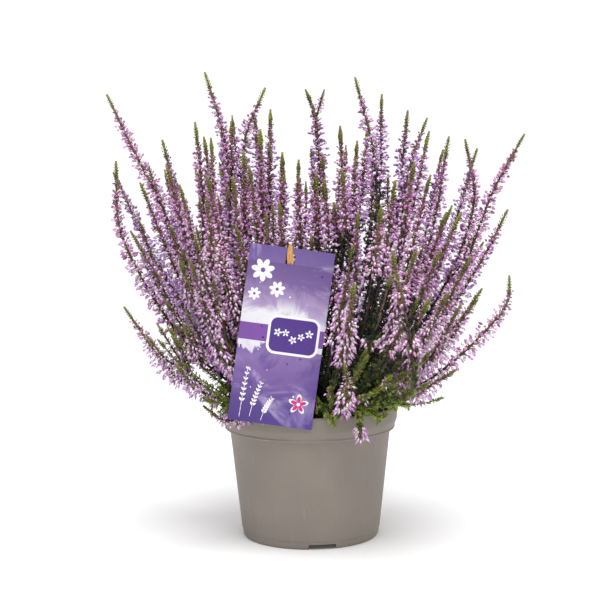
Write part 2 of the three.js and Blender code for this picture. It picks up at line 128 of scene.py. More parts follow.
growth = {
    "soilTop": 79,
    "forkHeight": 87,
    "leafRadius": 3.8,
    "spikeRadius": 6.2,
    "touchGap": 0.7,
    "spacingSlack": 1.2,
    "bendRounds": 110,
    "soilReach": 43,
    "leanAtRim": 1.0,
    "footSpacing": 10,
    "stakeRoom": 8,
    "flattened": 0.86,            # the bush's depth, as a share of its width
    "stations": 18,
    "backSprays": 9,
    "backTips": 3,
    "seed": 2024,
}
potForm = {"height": 90, "rimRadius": 59.8, "bandFoot": 73.4, "bodyTopRadius": 54.3, "baseRadius": 46,
           "wall": 1.7, "floorRaise": 4, "padRadius": 22, "notchWidth": 18.5, "notchHeight": 3.5,
           "notchAngles": (9, 129, 249), "drainHoles": 8, "drainRadius": 3.2, "drainRing": 33}
card = {"width": 54, "height": 113.5, "thickness": 0.6, "face": -60.8, "turn": -8.2, "centre": (-18.2, 142.7),
        "bentStrip": 10, "bendAngle": 20}
stick = {"across": -11.8, "foot": 57, "top": 201.8, "width": 4.2, "thick": 1.5, "lean": 0.105,
         "bendHeight": 189.2}

# the camera, fitted to the pot in the photograph; pixels are those of a picture 600 wide
shot = {"distance": 1000, "height": 267.8, "across": -6, "focalPixels": 1493.3, "pitch": 6.167, "roll": -0.55}

# every shoot ends at its last point and passes through the points before it; a third entry is a twin tip
frontSprays = [
    ([[(-96, -15, 225), (-115, -10, 262), (-132, -5, 298)],
      [(-106, -36, 178), (-121, -37, 212), (-123, -35, 255)], [(-133, 25, 246)]], []),
    ([[(-107, -50, 240)], [(-108, 5, 252)], [(-95, -20, 268)]], []),
    ([[(-90, -60, 251)], [(-79, -78, 240)], [(-112, -50, 212)]], []),
    ([[(-73, -30, 279)], [(-52, 5, 262), (-66, 5, 313)], [(-61, 35, 280)]], []),
    ([[(-60, -55, 269)], [(-60, -75, 244)], [(-62, -90, 228)]], []),
    ([[(-45, 0, 262), (-30, 0, 301)], [(-32, -30, 274)], [(-25, 30, 288)]], []),
    ([[(-39, -45, 260)], [(-36, -58, 249)], [(-43, -66, 242)]], []),
    ([[(-17, -48, 257)], [(-12, -62, 253)], [(-19, -68, 230)]], []),
    ([[(-27, -66, 221)], [(-49, -72, 217)]], []),
    ([[(-72, -88, 196)]], [(-78, -80, 193), (-69, -80, 215)]),
    ([[(6, 20, 280), (-1, 20, 301)], [(22, -10, 276)]], [], (12, 22, 301)),
    ([[(45, 0, 250), (32, 0, 308)], [(51, 15, 297)], [(31, -45, 266)]], []),
    ([[(16, -60, 248)], [(9, -70, 241)], [(3, -45, 246)]], []),
    ([[(67, 8, 245), (80, 10, 281)], [(93, -20, 268)], [(68, -50, 252)]], []),
    ([[(113, 5, 222), (107, 5, 266)], [(122, 0, 232), (143, 0, 270)]], []),
    ([[(115, -25, 190), (130, -25, 220)], [(96, -60, 221)], [(88, -48, 220)]], []),
    ([[(75, -65, 245)], [(55, -70, 241)], [(42, -85, 227)]], []),
    ([[(30, -80, 221)], [(27, -92, 204)], [(9, -84, 209)]], []),
    ([[(58, -80, 112), (57, -96, 147), (48, -101, 183), (45, -100, 202)], [(56, -112, 184)]],
     [(36, -96, 138), (38, -84, 109)]),
    ([[(82, -85, 198)], [(100, -70, 192)]], []),
    ([[(115, -38, 146), (128, -35, 162), (129, -35, 179)], [(107, -60, 173)], [(92, -78, 165)]],
     [(83, -55, 104)]),
    ([[(84, -92, 172)], [(72, -98, 169)], [(92, -62, 122)]], [(75, -72, 117)]),
    ([[(65, -108, 169)], [(64, -95, 199)]], [(50, -90, 124), (47, -72, 104)]),
    ([[(28, -105, 181)], [(24, -74, 98), (25, -88, 118), (23, -92, 132)], [(25, -54, 98), (30, -63, 81)]],
     [(5, -66, 102), (15, -75, 114)]),
    ([[(-88, -44, 119), (-108, -42, 145), (-119, -40, 161)]],
     [(-91, -70, 150), (-96, -65, 143), (-68, -48, 105)]),
    ([[(-31, -53, 97), (-40, -53, 88), (-53, -44, 86), (-67, -38, 96)]], [(-57, -56, 103)]),
]


def curvePoint(points, t):
    # centripetal Catmull-Rom, t from 0 to 1
    count = len(points)
    place = (count - 1) * t
    i = min(int(place), count - 2)
    w = place - i
    p1, p2 = points[i], points[i + 1]
    p0 = points[i - 1] if i > 0 else 2 * points[0] - points[1]
    p3 = points[i + 2] if i + 2 < count else 2 * points[-1] - points[-2]
    d0, d1, d2 = (max(np.linalg.norm(b - a), 1e-6) ** 0.5 for a, b in ((p0, p1), (p1, p2), (p2, p3)))
    t1 = d1 * ((p1 - p0) / d0 - (p2 - p0) / (d0 + d1) + (p2 - p1) / d1)
    t2 = d1 * ((p2 - p1) / d1 - (p3 - p1) / (d1 + d2) + (p3 - p2) / d2)
    return p1 + t1 * w + (3 * (p2 - p1) - 2 * t1 - t2) * w * w + (2 * (p1 - p2) + t1 + t2) * w ** 3


def smoothPath(through, count):
    # a curve through the points, cut into steps of equal length
    points = [np.array(p, float) for p in through]
    fine = np.array([curvePoint(points, i / 200) for i in range(201)])
    along = np.concatenate([[0], np.cumsum(np.linalg.norm(np.diff(fine, axis=0), axis=1))])
    shares = np.interp(np.linspace(0, along[-1], count + 1), along, np.linspace(0, 1, 201))
    return np.array([curvePoint(points, min(t, 1)) for t in shares])


def domeReach(lean):
    # how far a shoot that leans by so many degrees reaches from the middle of the soil
    return 232 - 0.35 * lean if lean < 35 else 220 - 3.1 * (lean - 35)


def backSprayList(draw):
    sprays = []
    for i in range(growth["backSprays"]):
        heading = 12 + 156 * ((i * 0.618 + 0.15) % 1)
        lean = 20 + 42 * ((i + 0.5) / growth["backSprays"])
        tips = []
        for j in range(growth["backTips"]):
            turn = math.radians(heading + 15 * (j - 1) + 6 * (draw() - 0.5))
            tilt = lean + 13 * (j % 2) - 5 + 5 * (draw() - 0.5)
            reach = domeReach(tilt) * (0.92 + 0.08 * draw())
            side = reach * math.sin(math.radians(tilt))
            up = growth["soilTop"] + reach * math.cos(math.radians(tilt))
            tips.append([(side * math.cos(turn), growth["flattened"] * side * math.sin(turn), up)])
        sprays.append((tips, []))
    return sprays


def stakeMiddle(height):
    # how far back the middle of the stake is at that height
    touch = card["face"] + card["thickness"] + 0.35 + stick["thick"] / 2
    return touch - (height - stick["bendHeight"]) * stick["lean"]


def feetOf(sprays):
    # where the sprays leave the soil, pushed apart until each has its room
    feet = []
    for spray in sprays:
        x, y, z = np.mean([path[-1] for path in spray[0]], axis=0)
        lean = math.atan2(math.hypot(x, y), z - growth["soilTop"])
        out = growth["soilReach"] * min(1, lean / growth["leanAtRim"]) / math.hypot(x, y)
        feet.append([out * x, out * y])
    stakePlace = (stick["across"], stakeMiddle(growth["soilTop"]))
    spacing = growth["footSpacing"]
    for _ in range(200):
        for i, foot in enumerate(feet):
            for other in feet[:i]:
                apart = math.hypot(foot[0] - other[0], foot[1] - other[1])
                if apart >= spacing:
                    continue
                push = 0.5 * (spacing - apart) / max(apart, 0.01)
                for k in (0, 1):
                    shift = push * (foot[k] - other[k])
                    foot[k] += shift
                    other[k] -= shift
            fromStake = math.hypot(foot[0] - stakePlace[0], foot[1] - stakePlace[1])
            if fromStake < growth["stakeRoom"]:
                for k in (0, 1):
                    foot[k] += (foot[k] - stakePlace[k]) * (growth["stakeRoom"] / fromStake - 1)
            out = math.hypot(*foot)
            if out > growth["soilReach"]:
                foot[:] = [v * growth["soilReach"] / out for v in foot]
    return feet


def leafWidth(along):
    return 1.4 + (growth["leafRadius"] - 1.4) * min(1, max(0, (along - 8) / 34))


def bloomLength(total):
    return min(0.6 * total, 92)


def tipLength(total):
    return min(13, 0.12 * total)


def spikeWidth(share, total):
    start = 1 - bloomLength(total) / total
    tip = 1 - tipLength(total) / total
    if share < start:
        return leafWidth(share * total)
    if share > tip:
        return 1.9
    t = (share - start) / (tip - start)
    return growth["spikeRadius"] * (0.62 + 0.38 * math.sin(math.pi * min(1, 0.25 + 0.95 * t)))


def innerTip(spray, fork, draw):
    toTip = np.array(spray[0][0][-1], float) - fork
    turn = 0.9 * (draw() - 0.5)
    reach = 62 + 22 * draw()
    flat = np.array([toTip[0], toTip[1], 0.75 * max(toTip[2], 30)])
    flat /= np.linalg.norm(flat)
    x = flat[0] * math.cos(turn) - flat[1] * math.sin(turn)
    y = flat[0] * math.sin(turn) + flat[1] * math.cos(turn)
    return fork + reach * np.array([x, y, flat[2]])


def makeShoots(sprays, feet, draw):
    shoots = []
    n = growth["stations"]
    for index, spray in enumerate(sprays):
        fork = np.array([*feet[index], growth["forkHeight"]])
        every = [(through, False) for through in spray[0]] + [([tip], True) for tip in spray[1]]
        every.append(([innerTip(spray, fork, draw)], True))
        for through, leafy in every:
            first = np.array(through[0], float)
            span = np.linalg.norm(first - fork)
            heading = math.atan2(first[1] - fork[1], first[0] - fork[0])
            out = span * (0.05 + 0.05 * draw())
            aside = span * 0.06 * (draw() - 0.5)
            belly = (fork + first) / 2
            belly[0] += out * math.cos(heading) - aside * math.sin(heading)
            belly[1] += out * math.sin(heading) + aside * math.cos(heading)
            given = [fork, *through] if len(through) > 1 and span < 60 else [fork, belly, *through]
            rest = smoothPath(given, n)
            total = np.linalg.norm(np.diff(rest, axis=0), axis=1).sum()
            widths = [2.2 if i * total / n < 10 else leafWidth(i * total / n) if leafy
                      else spikeWidth(i / n, total) for i in range(n + 1)]
            shoots.append({"spray": index, "path": rest, "leafy": leafy, "total": total, "widths": widths})
    return shoots


def bentBack(up):
    # how far the strip above the card's bend leans back
    flat = card["height"] / 2 - card["bentStrip"]
    return np.maximum(0, up - flat) * math.tan(math.radians(card["bendAngle"]))


def cardPlace(x, z):
    # how far across and up the card a point is, from the card's middle
    dx, dz = x - card["centre"][0], z - card["centre"][1]
    return turned(cardTurn, dx, dz), turned(cardTurn, dz, -dx)


def clearOfHardParts(points, widths):
    # steps away from the pot's rim, the back of the card and the stake
    gap = growth["touchGap"]
    shift = np.zeros_like(points)
    x, y, z = points[..., 0], points[..., 1], points[..., 2]
    out = np.hypot(x, y)
    rimMiddle, rimHeight = potForm["rimRadius"] - 1.2, potForm["height"] - 1.6
    toRim = np.hypot(out - rimMiddle, z - rimHeight)
    need = widths + 2.8 + gap
    near = (toRim < need) & (z > potForm["height"] - 14)
    size = np.where(near, (need - toRim) / np.maximum(toRim, 0.1), 0)
    shift[..., 2] += np.maximum(z - rimHeight, 0.5) * size
    aside = np.where(out > rimMiddle, (out - rimMiddle) * size, 0)
    shift[..., 0] += aside * x / np.maximum(out, 0.01)
    shift[..., 1] += aside * y / np.maximum(out, 0.01)
    across, up = cardPlace(x, z)
    nearCard = (np.abs(across) < card["width"] / 2 + widths) & (np.abs(up) < card["height"] / 2 + widths)
    cardBack = card["face"] + card["thickness"] + bentBack(up + 2) + gap + 0.6 + widths
    shift[..., 1] += np.where(nearCard & (y < cardBack), cardBack - y, 0)
    stakeBack = stakeMiddle(z) + stick["thick"] / 2 + gap + widths
    nearStake = np.abs(x - stick["across"]) < stick["width"] / 2 + widths + gap
    nearStake &= z < stick["top"] + widths
    shift[..., 1] += np.where(nearStake & (y < stakeBack), np.maximum(0, stakeBack - y - shift[..., 1]), 0)
    return shift


def bendClear(shoots):
    # pushes shoots apart where they would cross, and evens the push out along each of them
    n = growth["stations"]
    rest = np.array([s["path"] for s in shoots])
    widths = np.array([s["widths"] for s in shoots])
    move = np.zeros_like(rest)
    count = len(shoots)
    spray = np.repeat([s["spray"] for s in shoots], n)
    shoot = np.repeat(np.arange(count), n)
    station = np.tile(np.arange(1, n + 1), count)
    wide = widths[:, 1:].reshape(-1)
    for round_ in range(growth["bendRounds"]):
        now = rest + move
        flat = now[:, 1:].reshape(-1, 3)
        if round_ % 10 == 0:
            square = (flat ** 2).sum(1)
            apart = square[:, None] + square[None, :] - 2 * flat @ flat.T
            a, b = np.nonzero(np.triu(apart < 26 ** 2, 1))
            same = spray[a] == spray[b]
            keep = (shoot[a] != shoot[b]) & (~same | ((station[a] >= 5) & (station[b] >= 5)))
            a, b = a[keep], b[keep]
            need = wide[a] + wide[b] + growth["touchGap"] + growth["spacingSlack"]
        between = flat[a] - flat[b]
        apart = np.linalg.norm(between, axis=1)
        size = np.where(apart < need, (need - apart) / np.maximum(apart, 0.01) * 0.5, 0)
        step = between * size[:, None]
        push = np.zeros_like(flat)
        np.add.at(push, a, step)
        np.add.at(push, b, -step)
        move[:, 1:] += 0.5 * push.reshape(count, n, 3) + clearOfHardParts(now, widths)[:, 1:]
        following = np.concatenate([move[:, 2:], move[:, -1:]], axis=1)
        move[:, 1:] = 0.5 * move[:, 1:] + 0.25 * (move[:, :-1] + following)
        move[:, 0] = 0
    for i, item in enumerate(shoots):
        item["path"] = rest[i] + move[i]


def pointAt(path, share):
    place = min(max(share, 0) * (len(path) - 1), len(path) - 1 - 1e-6)
    i = int(place)
    return path[i] + (path[i + 1] - path[i]) * (place - i)


def addTwins(sprays, shoots):
    for index, spray in enumerate(sprays):
        if len(spray) < 3:
            continue
        parent = next(s for s in shoots if s["spray"] == index)
        path = smoothPath([pointAt(parent["path"], 0.9), spray[2]], growth["stations"])
        total = np.linalg.norm(path[-1] - path[0])
        shoots.append({"spray": index, "path": path, "leafy": False, "total": total, "twin": True,
                       "bloom": 0.75 * total, "slim": 0.9})


cardTurn = math.radians(card["turn"])
draw = makeRandom(growth["seed"])
sprays = frontSprays + backSprayList(draw)
feet = feetOf(sprays)
shoots = makeShoots(sprays, feet, draw)
bendClear(shoots)
addTwins(sprays, shoots)
print("shoots placed:", len(shoots))


# Small shapes, and many copies of them in one mesh


def shapeOf(bm):
    bmesh.ops.triangulate(bm, faces=bm.faces)
    bmesh.ops.recalc_face_normals(bm, faces=bm.faces)
    bm.verts.index_update()
    points = np.array([v.co[:] for v in bm.verts])
    faces = np.array([[v.index for v in f.verts] for f in bm.faces])
    bm.free()
    return points, faces


def roundShape(sides, outline):
    # a closed form along +Z: the rings of a sphere, moved to the outline's radii and heights
    bm = bmesh.new()
    steps = len(outline) - 1
    bmesh.ops.create_uvsphere(bm, u_segments=sides, v_segments=steps, radius=1)
    for vert in bm.verts:
        ring = round(math.acos(max(-1, min(1, -vert.co.z))) / math.pi * steps)
        flat = math.hypot(vert.co.x, vert.co.y)
        if flat > 1e-4:
            vert.co.x *= outline[ring][0] / flat
            vert.co.y *= outline[ring][0] / flat
        vert.co.z = outline[ring][1]
    return shapeOf(bm)


def discShape(sides):
    bm = bmesh.new()
    bmesh.ops.create_cone(bm, cap_ends=True, segments=sides, radius1=1, radius2=0.96, depth=1)
    bmesh.ops.translate(bm, verts=bm.verts, vec=(0, 0, 0.5))
    return shapeOf(bm)


def levelSide(path):
    # the level direction across a shoot's whole run
    heading = path[-1] - path[0]
    return unit(np.array([-heading[1], heading[0], 0.01]))


def unitRows(rows):
    return rows / np.maximum(np.linalg.norm(rows, axis=1), 1e-9)[:, None]


def placeMany(shape, items):
    # an item: start, direction, side direction, length, half width, half depth, tone, glow
    points, faces = shape
    start, ahead, side = (np.array([item[k] for item in items], float) for k in (0, 1, 2))
    length, wide, deep, tone, glow = np.array([item[3:8] for item in items], float).T
    ahead = unitRows(ahead)
    across = unitRows(side - ahead * (side * ahead).sum(1)[:, None])
    upward = np.cross(ahead, across)
    world = start[:, None] + points[None, :, 0:1] * (across * wide[:, None])[:, None]
    world = world + points[None, :, 1:2] * (upward * deep[:, None])[:, None]
    world = world + points[None, :, 2:3] * (ahead * length[:, None])[:, None]
    everyFace = faces[None] + (np.arange(len(items)) * len(points))[:, None, None]
    paint = np.ones((len(items), len(points), 4))
    paint[..., 0] = points[None, :, 2]
    paint[..., 1] = tone[:, None]
    paint[..., 2] = glow[:, None]
    return world.reshape(-1, 3), everyFace.reshape(-1, 3), paint.reshape(-1, 4)


def joined(parts):
    offsets = np.cumsum([0] + [len(p[0]) for p in parts[:-1]])
    return (np.concatenate([p[0] for p in parts]),
            np.concatenate([p[1] + offset for p, offset in zip(parts, offsets)]),
            np.concatenate([p[2] for p in parts]))


def pieceFromArrays(name, arrays, material, smooth=True):
    # paint holds how far along its own bud or leaf a point is, the tone of the whole, and its glow
    points, faces, paint = arrays
    mesh = bpy.data.meshes.new(name)
    mesh.vertices.add(len(points))
    mesh.vertices.foreach_set("co", (points * mm).astype(np.float32).ravel())
    mesh.loops.add(faces.size)
    mesh.loops.foreach_set("vertex_index", faces.astype(np.int32).ravel())
    mesh.polygons.add(len(faces))
    mesh.polygons.foreach_set("loop_start", np.arange(0, faces.size, 3, dtype=np.int32))
    mesh.polygons.foreach_set("use_smooth", np.full(len(faces), smooth))
    mesh.update(calc_edges=True)
    layer = mesh.attributes.new("paint", "FLOAT_COLOR", "POINT")
    layer.data.foreach_set("color", paint.astype(np.float32).ravel())
    piece = bpy.data.objects.new(name, mesh)
    bpy.context.scene.collection.objects.link(piece)
    mesh.materials.append(material)
    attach(piece, "root")
    return piece


def tubeAlong(path, radii, sides, tone):
    # a tapering tube with a closed point at each end
    ahead = unitRows(np.gradient(path, axis=0))
    upward = unitRows(np.cross(ahead, levelSide(path)))
    across = np.cross(upward, ahead)
    turns = np.arange(sides) * 2 * math.pi / sides
    ring = np.cos(turns)[None, :, None] * across[:, None] + np.sin(turns)[None, :, None] * upward[:, None]
    points = (path[:, None] + ring * np.array(radii)[:, None, None]).reshape(-1, 3)
    count = len(path)
    low, high = len(points), len(points) + 1
    rim = np.arange(sides)
    after = (rim + 1) % sides
    last = (count - 1) * sides
    rows = np.arange(count - 1)[:, None] * sides
    a, b = (rows + rim).ravel(), (rows + after).ravel()
    faces = np.concatenate([np.stack([a, b, b + sides], 1), np.stack([a, b + sides, a + sides], 1)])
    faces = np.concatenate([faces, np.stack([after, rim, np.full(sides, low)], 1),
                            np.stack([rim + last, after + last, np.full(sides, high)], 1)])
    points = np.concatenate([points, path[:1], path[-1:]])
    paint = np.ones((len(points), 4))
    paint[:, 0] = np.concatenate([np.repeat(np.linspace(0, 1, count), sides), [0, 1]])
    paint[:, 1] = tone
    paint[:, 2] = 0.5
    return points, faces, paint


def smoothStep(low, high, value):
    t = min(1, max(0, (value - low) / (high - low)))
    return t * t * (3 - 2 * t)


def between(pair, t):
    return pair[0] + (pair[1] - pair[0]) * t


def foldedLeaf():
    # four faces: a keel from foot to tip, and an edge across it
    bm = bmesh.new()
    bmesh.ops.create_cone(bm, cap_ends=True, segments=3, radius1=1, radius2=0, depth=1)
    for vert, spot in zip(bm.verts, ((0, -0.5, 0), (-1, 0.6, 0.45), (1, 0.6, 0.45), (0, -0.3, 1))):
        vert.co = spot
    return shapeOf(bm)


def leafyShape(length, levels, leafLength, leafHalf, spread, core):
    # pairs of small leaves, each pair across the one below, on a thin core
    leaves = []
    for i in range(levels):
        share = i / levels
        for turn in (0, math.pi):
            out = turned(turn + math.pi / 2 * (i % 2) + 0.25 * math.sin(3.1 * i), xAxis, yAxis)
            size = leafLength * (1 - 0.35 * share)
            swell = min(0.4 + 1.1 * share, 2.3 * (1 - share) + 0.1)
            start = out * core * swell * 0.7 + upAxis * (0.04 + 0.92 * share) * (length - 0.7 * size)
            way = turned(math.radians(between(spread, share)), upAxis, out)
            half = leafHalf * (1 - 0.25 * share)
            leaves.append((start, way, np.cross(upAxis, out), size, half, 0.62 * half, 0, 0))
    middle = [(np.zeros(3), upAxis, xAxis, 0.97 * length, core, core, 0, 0)]
    points, faces, _ = joined([placeMany(bladeShape, leaves), placeMany(bladeShape, middle)])
    half = np.abs(points[:, :2]).max()
    return (points / (half, half, length), faces), half / length


budShape = roundShape(4, [(0, 0), (1, 0.34), (0.72, 0.74), (0, 1)])
bladeShape = foldedLeaf()
fineTwig, fineHalf = leafyShape(5.5, 6, 2.2, 0.66, (58, 24), 0.5)
plainTwig, plainHalf = leafyShape(8, 4, 3.4, 0.85, (52, 26), 0.5)
tipShape, tipHalf = leafyShape(12, 11, 1.8, 0.95, (42, 14), 1.3)
print("faces of a bud, a twig and a tip:", len(budShape[1]), len(fineTwig[1]), len(tipShape[1]))


# The heather

flowers = {
    "ringPitch": 2.7,
    "perRing": {"main": 7, "side": 5},
    "missing": 0.06,
    "youngLength": 15,            # at a spike's end, where buds are small and many are not there yet
    "budLength": (2.5, 3.9),      # at the top of a spike, at its foot
    "budHalfWidth": (0.8, 0.98),
    "stalkLength": (2.8, 3.9),
    "stalkHalfWidth": 0.36,
    "bractLength": 2.5,
    "bractHalfWidth": 0.8,
    "lift": (50, 20),             # degrees above the spike's own horizontal
    "droop": (0.3, 1.25),         # high on the bush, low at its front
    "lowHeights": (225, 165),     # what counts as high and as low there
    "paleHeights": (190, 135),    # right of the card buds turn pale from the one to the other
    # share of a spike that flowers, and the most in mm
    "bloom": {"left": (0.8, 150), "front": (0.55, 84), "back": (0.55, 70), "farRight": (0.74, 125)},
    "headLength": 9,              # of the round head that hangs over the rim
    "sparseLength": 13,           # that flowers on a leafy shoot
    "seed": 7,
}
sideSpikes = {
    "shortestParent": 75,
    "length": (34, 58),
    "aside": 0.3,                 # how far its tip ends beside the parent, as a share of its length
    "slim": 0.86,
    "seed": 19,
}
foliage = {
    "pairPitch": 7,
    "openBelow": 129,             # front right, no spike flowers below this height
    # where dark leaves show between the spikes: place across, height, half width, half height
    "openings": ((20, 198, 8, 15), (41.5, 162, 7.5, 24), (62.5, 162, 5, 17), (8, 160, 4, 16)),
    "openingDepth": 90,           # the openings are measured that far before the pot's middle,
    "sightSlope": 0.108,          # and what stands 1 mm farther back shows that much higher
    "twigLength": (7.0, 11.0),
    "finePitch": 3.6,             # where the foliage shows, twigs are short, close and fine
    "fineLength": (3.8, 6.2),
    "fineDepth": 0.72,            # share of the dome's reach beyond which they are
    "tipLength": 12,
    "seed": 11,
}
rimTufts = {
    "count": 60,
    "foot": 44,                   # radius at which they leave the peat
    "crest": ((52, 55), (96, 103)),      # radius and height of their highest part
    "tip": ((62, 70), (85, 97)),
    "twigPitch": 2.4,
    "seed": 31,
}


def insideCard(point, room):
    across, up = cardPlace(point[0], point[2])
    if abs(across) > card["width"] / 2 + room or abs(up) > card["height"] / 2 + room:
        return False
    return point[1] < card["face"] + card["thickness"] + bentBack(up) + 0.5


def hitsPot(point):
    out = math.hypot(point[0], point[1])
    return point[2] < potForm["height"] + 1 and potForm["bodyTopRadius"] - 2 < out < potForm["rimRadius"] + 1


def frameAt(path, share):
    # a point on the shoot, its direction, and two directions across it
    ahead = unit(pointAt(path, min(share + 0.03, 1)) - pointAt(path, max(share - 0.03, 0)))
    upward = unit(np.cross(ahead, levelSide(path)))
    return pointAt(path, share), ahead, np.cross(upward, ahead), upward


def inOpening(point):
    # in the front half, as the camera shows it: what stands farther back looks a little smaller and higher
    if point[1] > 0:
        return False
    depth = foliage["openingDepth"]
    nearness = (shot["distance"] - depth) / (shot["distance"] + point[1])
    across = (point[0] - shot["across"]) * nearness + shot["across"]
    up = point[2] + foliage["sightSlope"] * (point[1] + depth)
    return any(((across - x) / wide) ** 2 + ((up - z) / high) ** 2 < 1
               for x, z, wide, high in foliage["openings"])


def domeDepth(point):
    # how far out in the bush a point is, as a share of the reach of a shoot that leans as much
    out = math.hypot(point[0], point[1] / growth["flattened"])
    up = point[2] - growth["soilTop"]
    lean = math.degrees(math.atan2(out, max(up, 1)))
    return math.hypot(out, up) / domeReach(min(lean, 84))


def bloomOf(shoot):
    # left of the card the spikes flower nearly to their foot, to its right they leave the foliage open
    if "bloom" in shoot:
        return shoot["bloom"]
    total, (x, y, z) = shoot["total"], shoot["path"][-1]
    if shoot["leafy"]:
        return flowers["sparseLength"]
    if z < potForm["height"]:
        return flowers["headLength"]
    if x > 0 and z < 150:
        return 0.5 * total
    place = "farRight" if x > 88 else "left" if x < -30 else "front" if y < -30 else "back"
    share, most = flowers["bloom"][place]
    bloom = min(share * total, most)
    if 0 < x < 85 and y < -20:
        heights = np.array([pointAt(shoot["path"], share)[2] for share in np.linspace(0, 1, 40)])
        uneven = 8 * math.sin(z) + (16 if 32 < x < 64 else 0) + (26 if z > 212 else 0)
        bloom = min(bloom, total * np.mean(heights > foliage["openBelow"] + uneven))
    return bloom


def sideSpikeCount(shoot, draw):
    x, y, z = shoot["path"][-1]
    if x < -50 and z < 235:
        count = 5 if z < 200 else 3
    else:
        count = 2 if x < 30 and y < 10 else round(0.8 * draw())
    bare = shoot["leafy"] and x > -40 or x > 0 and z < 215 or x < -115 and z < 170
    return 0 if bare or shoot["total"] < sideSpikes["shortestParent"] else count


def addSideSpikes(shoots, draw):
    # small blooming side shoots that fill the bush between the long spikes, leaning to its inside
    made = []
    for parent in shoots:
        path, total = parent["path"], parent["total"]
        outward = unit(path[-1] * (1, 1, 0))
        count = sideSpikeCount(parent, draw)
        for k in range(count):
            length = between(sideSpikes["length"], draw()) * (0.8 if path[-1][2] < 180 else 1)
            first, last = max(30, total - bloomOf(parent) - 20), total - length - 14
            start, ahead, across, upward = frameAt(path, between((first, last), (k + draw()) / count) / total)
            for _ in range(6):
                out = turned(2 * math.pi * draw(), across, upward)
                if out @ outward > 0.3:
                    out = -out
                aside = sideSpikes["aside"] * length * out
                middle = start + 0.45 * length * ahead + 0.8 * aside
                finish = start + 0.9 * length * ahead + aside + 0.14 * length * upAxis
                if not any(insideCard(point, 7) or hitsPot(point) for point in (middle, finish)):
                    made.append({"spray": parent["spray"], "path": smoothPath([start, middle, finish], 10),
                                 "leafy": False, "total": length, "bloom": length - 5,
                                 "slim": sideSpikes["slim"]})
                    break
    shoots += made
    print("side spikes:", len(made))


def growSpike(shoot, draw, part):
    path, total = shoot["path"], shoot["total"]
    slim = shoot.get("slim", 1)
    perRing = flowers["perRing"]["side" if "slim" in shoot else "main"]
    head = path[-1][2] < potForm["height"]
    begin, end = total - bloomOf(shoot), total - (0 if head else max(7.5, tipLength(total)))
    rings = max(4, round((end - begin) / flowers["ringPitch"]))
    hue = min(1, max(0, 0.5 - 0.005 * path[-1][1] + 0.9 * (draw() - 0.5)))
    for ring in range(rings + 1):
        t = ring / rings
        at = begin + (end - begin) * t
        ripe = 1 if head else 1 - smoothStep(0.45, 1.0, t)
        young = 0 if head else smoothStep(flowers["youngLength"], 0, end - at)
        fade = slim * (1 - 0.35 * young)
        missing = flowers["missing"] + 0.35 * young + 0.3 * shoot["leafy"] + (0.3 if t < 0.04 else 0)
        for k in range(perRing):
            gone = draw() < missing
            share = (at + flowers["ringPitch"] * (draw() - 0.5)) / total
            centre, ahead, across, upward = frameAt(path, share)
            if inOpening(centre):
                continue
            low = smoothStep(*flowers["lowHeights"], centre[2]) * smoothStep(-20, -60, centre[1])
            low = 1 if head else low

            # the stalk
            angle = (k + 0.5 * (ring % 2)) * 2 * math.pi / perRing + 0.9 * (draw() - 0.5)
            out = turned(angle, across, upward)
            lift = math.radians(between(flowers["lift"], ripe) + 44 * (draw() - 0.5) * (1 - 0.6 * low))
            stalkWay = turned(lift, out, ahead)
            reach = (1.15 - (0.95 - 0.4 * low) * draw()) * (0.6 if head else 1)
            stalk = between(flowers["stalkLength"], ripe) * reach * fade
            start = centre + out * 0.3
            finish = start + stalkWay * stalk

            # the bud, which droops the more the riper and the lower it is
            droop = between(flowers["droop"], low) * (0.3 + 0.7 * ripe)
            sway = np.array([draw() - 0.5, draw() - 0.5, draw() - 0.5]) * (1.4 - 1.0 * low)
            way = out + 0.6 * math.tan(min(lift, 1)) * ahead - upAxis * droop * (0.7 + 0.6 * draw())
            way = unit(way + 0.9 * sway)
            length = between(flowers["budLength"], ripe) * (0.75 + 0.4 * draw()) * fade * (1 + 0.16 * low)
            half = between(flowers["budHalfWidth"], ripe) * (0.85 + 0.3 * draw()) * fade * (1 - 0.2 * low)
            if insideCard(finish + way * length, 0.8):
                continue
            tone = min(1, max(0, 0.65 * hue + 0.5 * draw() - 0.07))
            pale = low * (smoothStep(*flowers["paleHeights"], centre[2]) if centre[0] > 0 else 1.4)
            # glow is how much of a bud is pale; where it is low the material paints dark plum, partly unripe
            # colour and partly painted shade
            glow = (0.3 + 0.3 * ripe + 0.35 * pale + 0.2 * head) * (0.15 + 1.5 * draw()) * (1 - 0.6 * young)
            green = min(1, smoothStep(0.75, 1.0, t) * 0.5 + 0.6 * low + 0.2 * draw())
            if not gone:
                part["buds"].append((finish, way, across, length, half, half, tone, min(1, glow)))
                if reach > 0.6:
                    thin = flowers["stalkHalfWidth"]
                    part["stalks"].append((start, stalkWay, across, stalk + 0.5, thin, thin, draw(), green))

            # a bract at the stalk's foot, and now and then one along it
            leaf = flowers["bractLength"] * (0.7 + 0.6 * draw()) * (1 - 0.3 * young) * (0.5 + 0.5 * slim)
            wide = flowers["bractHalfWidth"] * (0.7 + 0.6 * draw())
            scaleWay = ahead * (0.4 + 0.8 * draw() + 0.5 * young) + out
            scale = (centre + out * 0.5, scaleWay, across, leaf, wide, 0.6 * wide, draw(), green)
            part["bracts"].append(scale)
            if draw() < 0.3 + 0.5 * young:
                root = start + stalkWay * stalk * (0.3 + 0.6 * draw()) * (1 - 0.7 * young)
                root = root + ahead * 1.2 * young
                part["bracts"].append((root, way + sway + young * ahead, across, leaf, 0.8 * wide, 0.5 * wide,
                                       draw(), green))


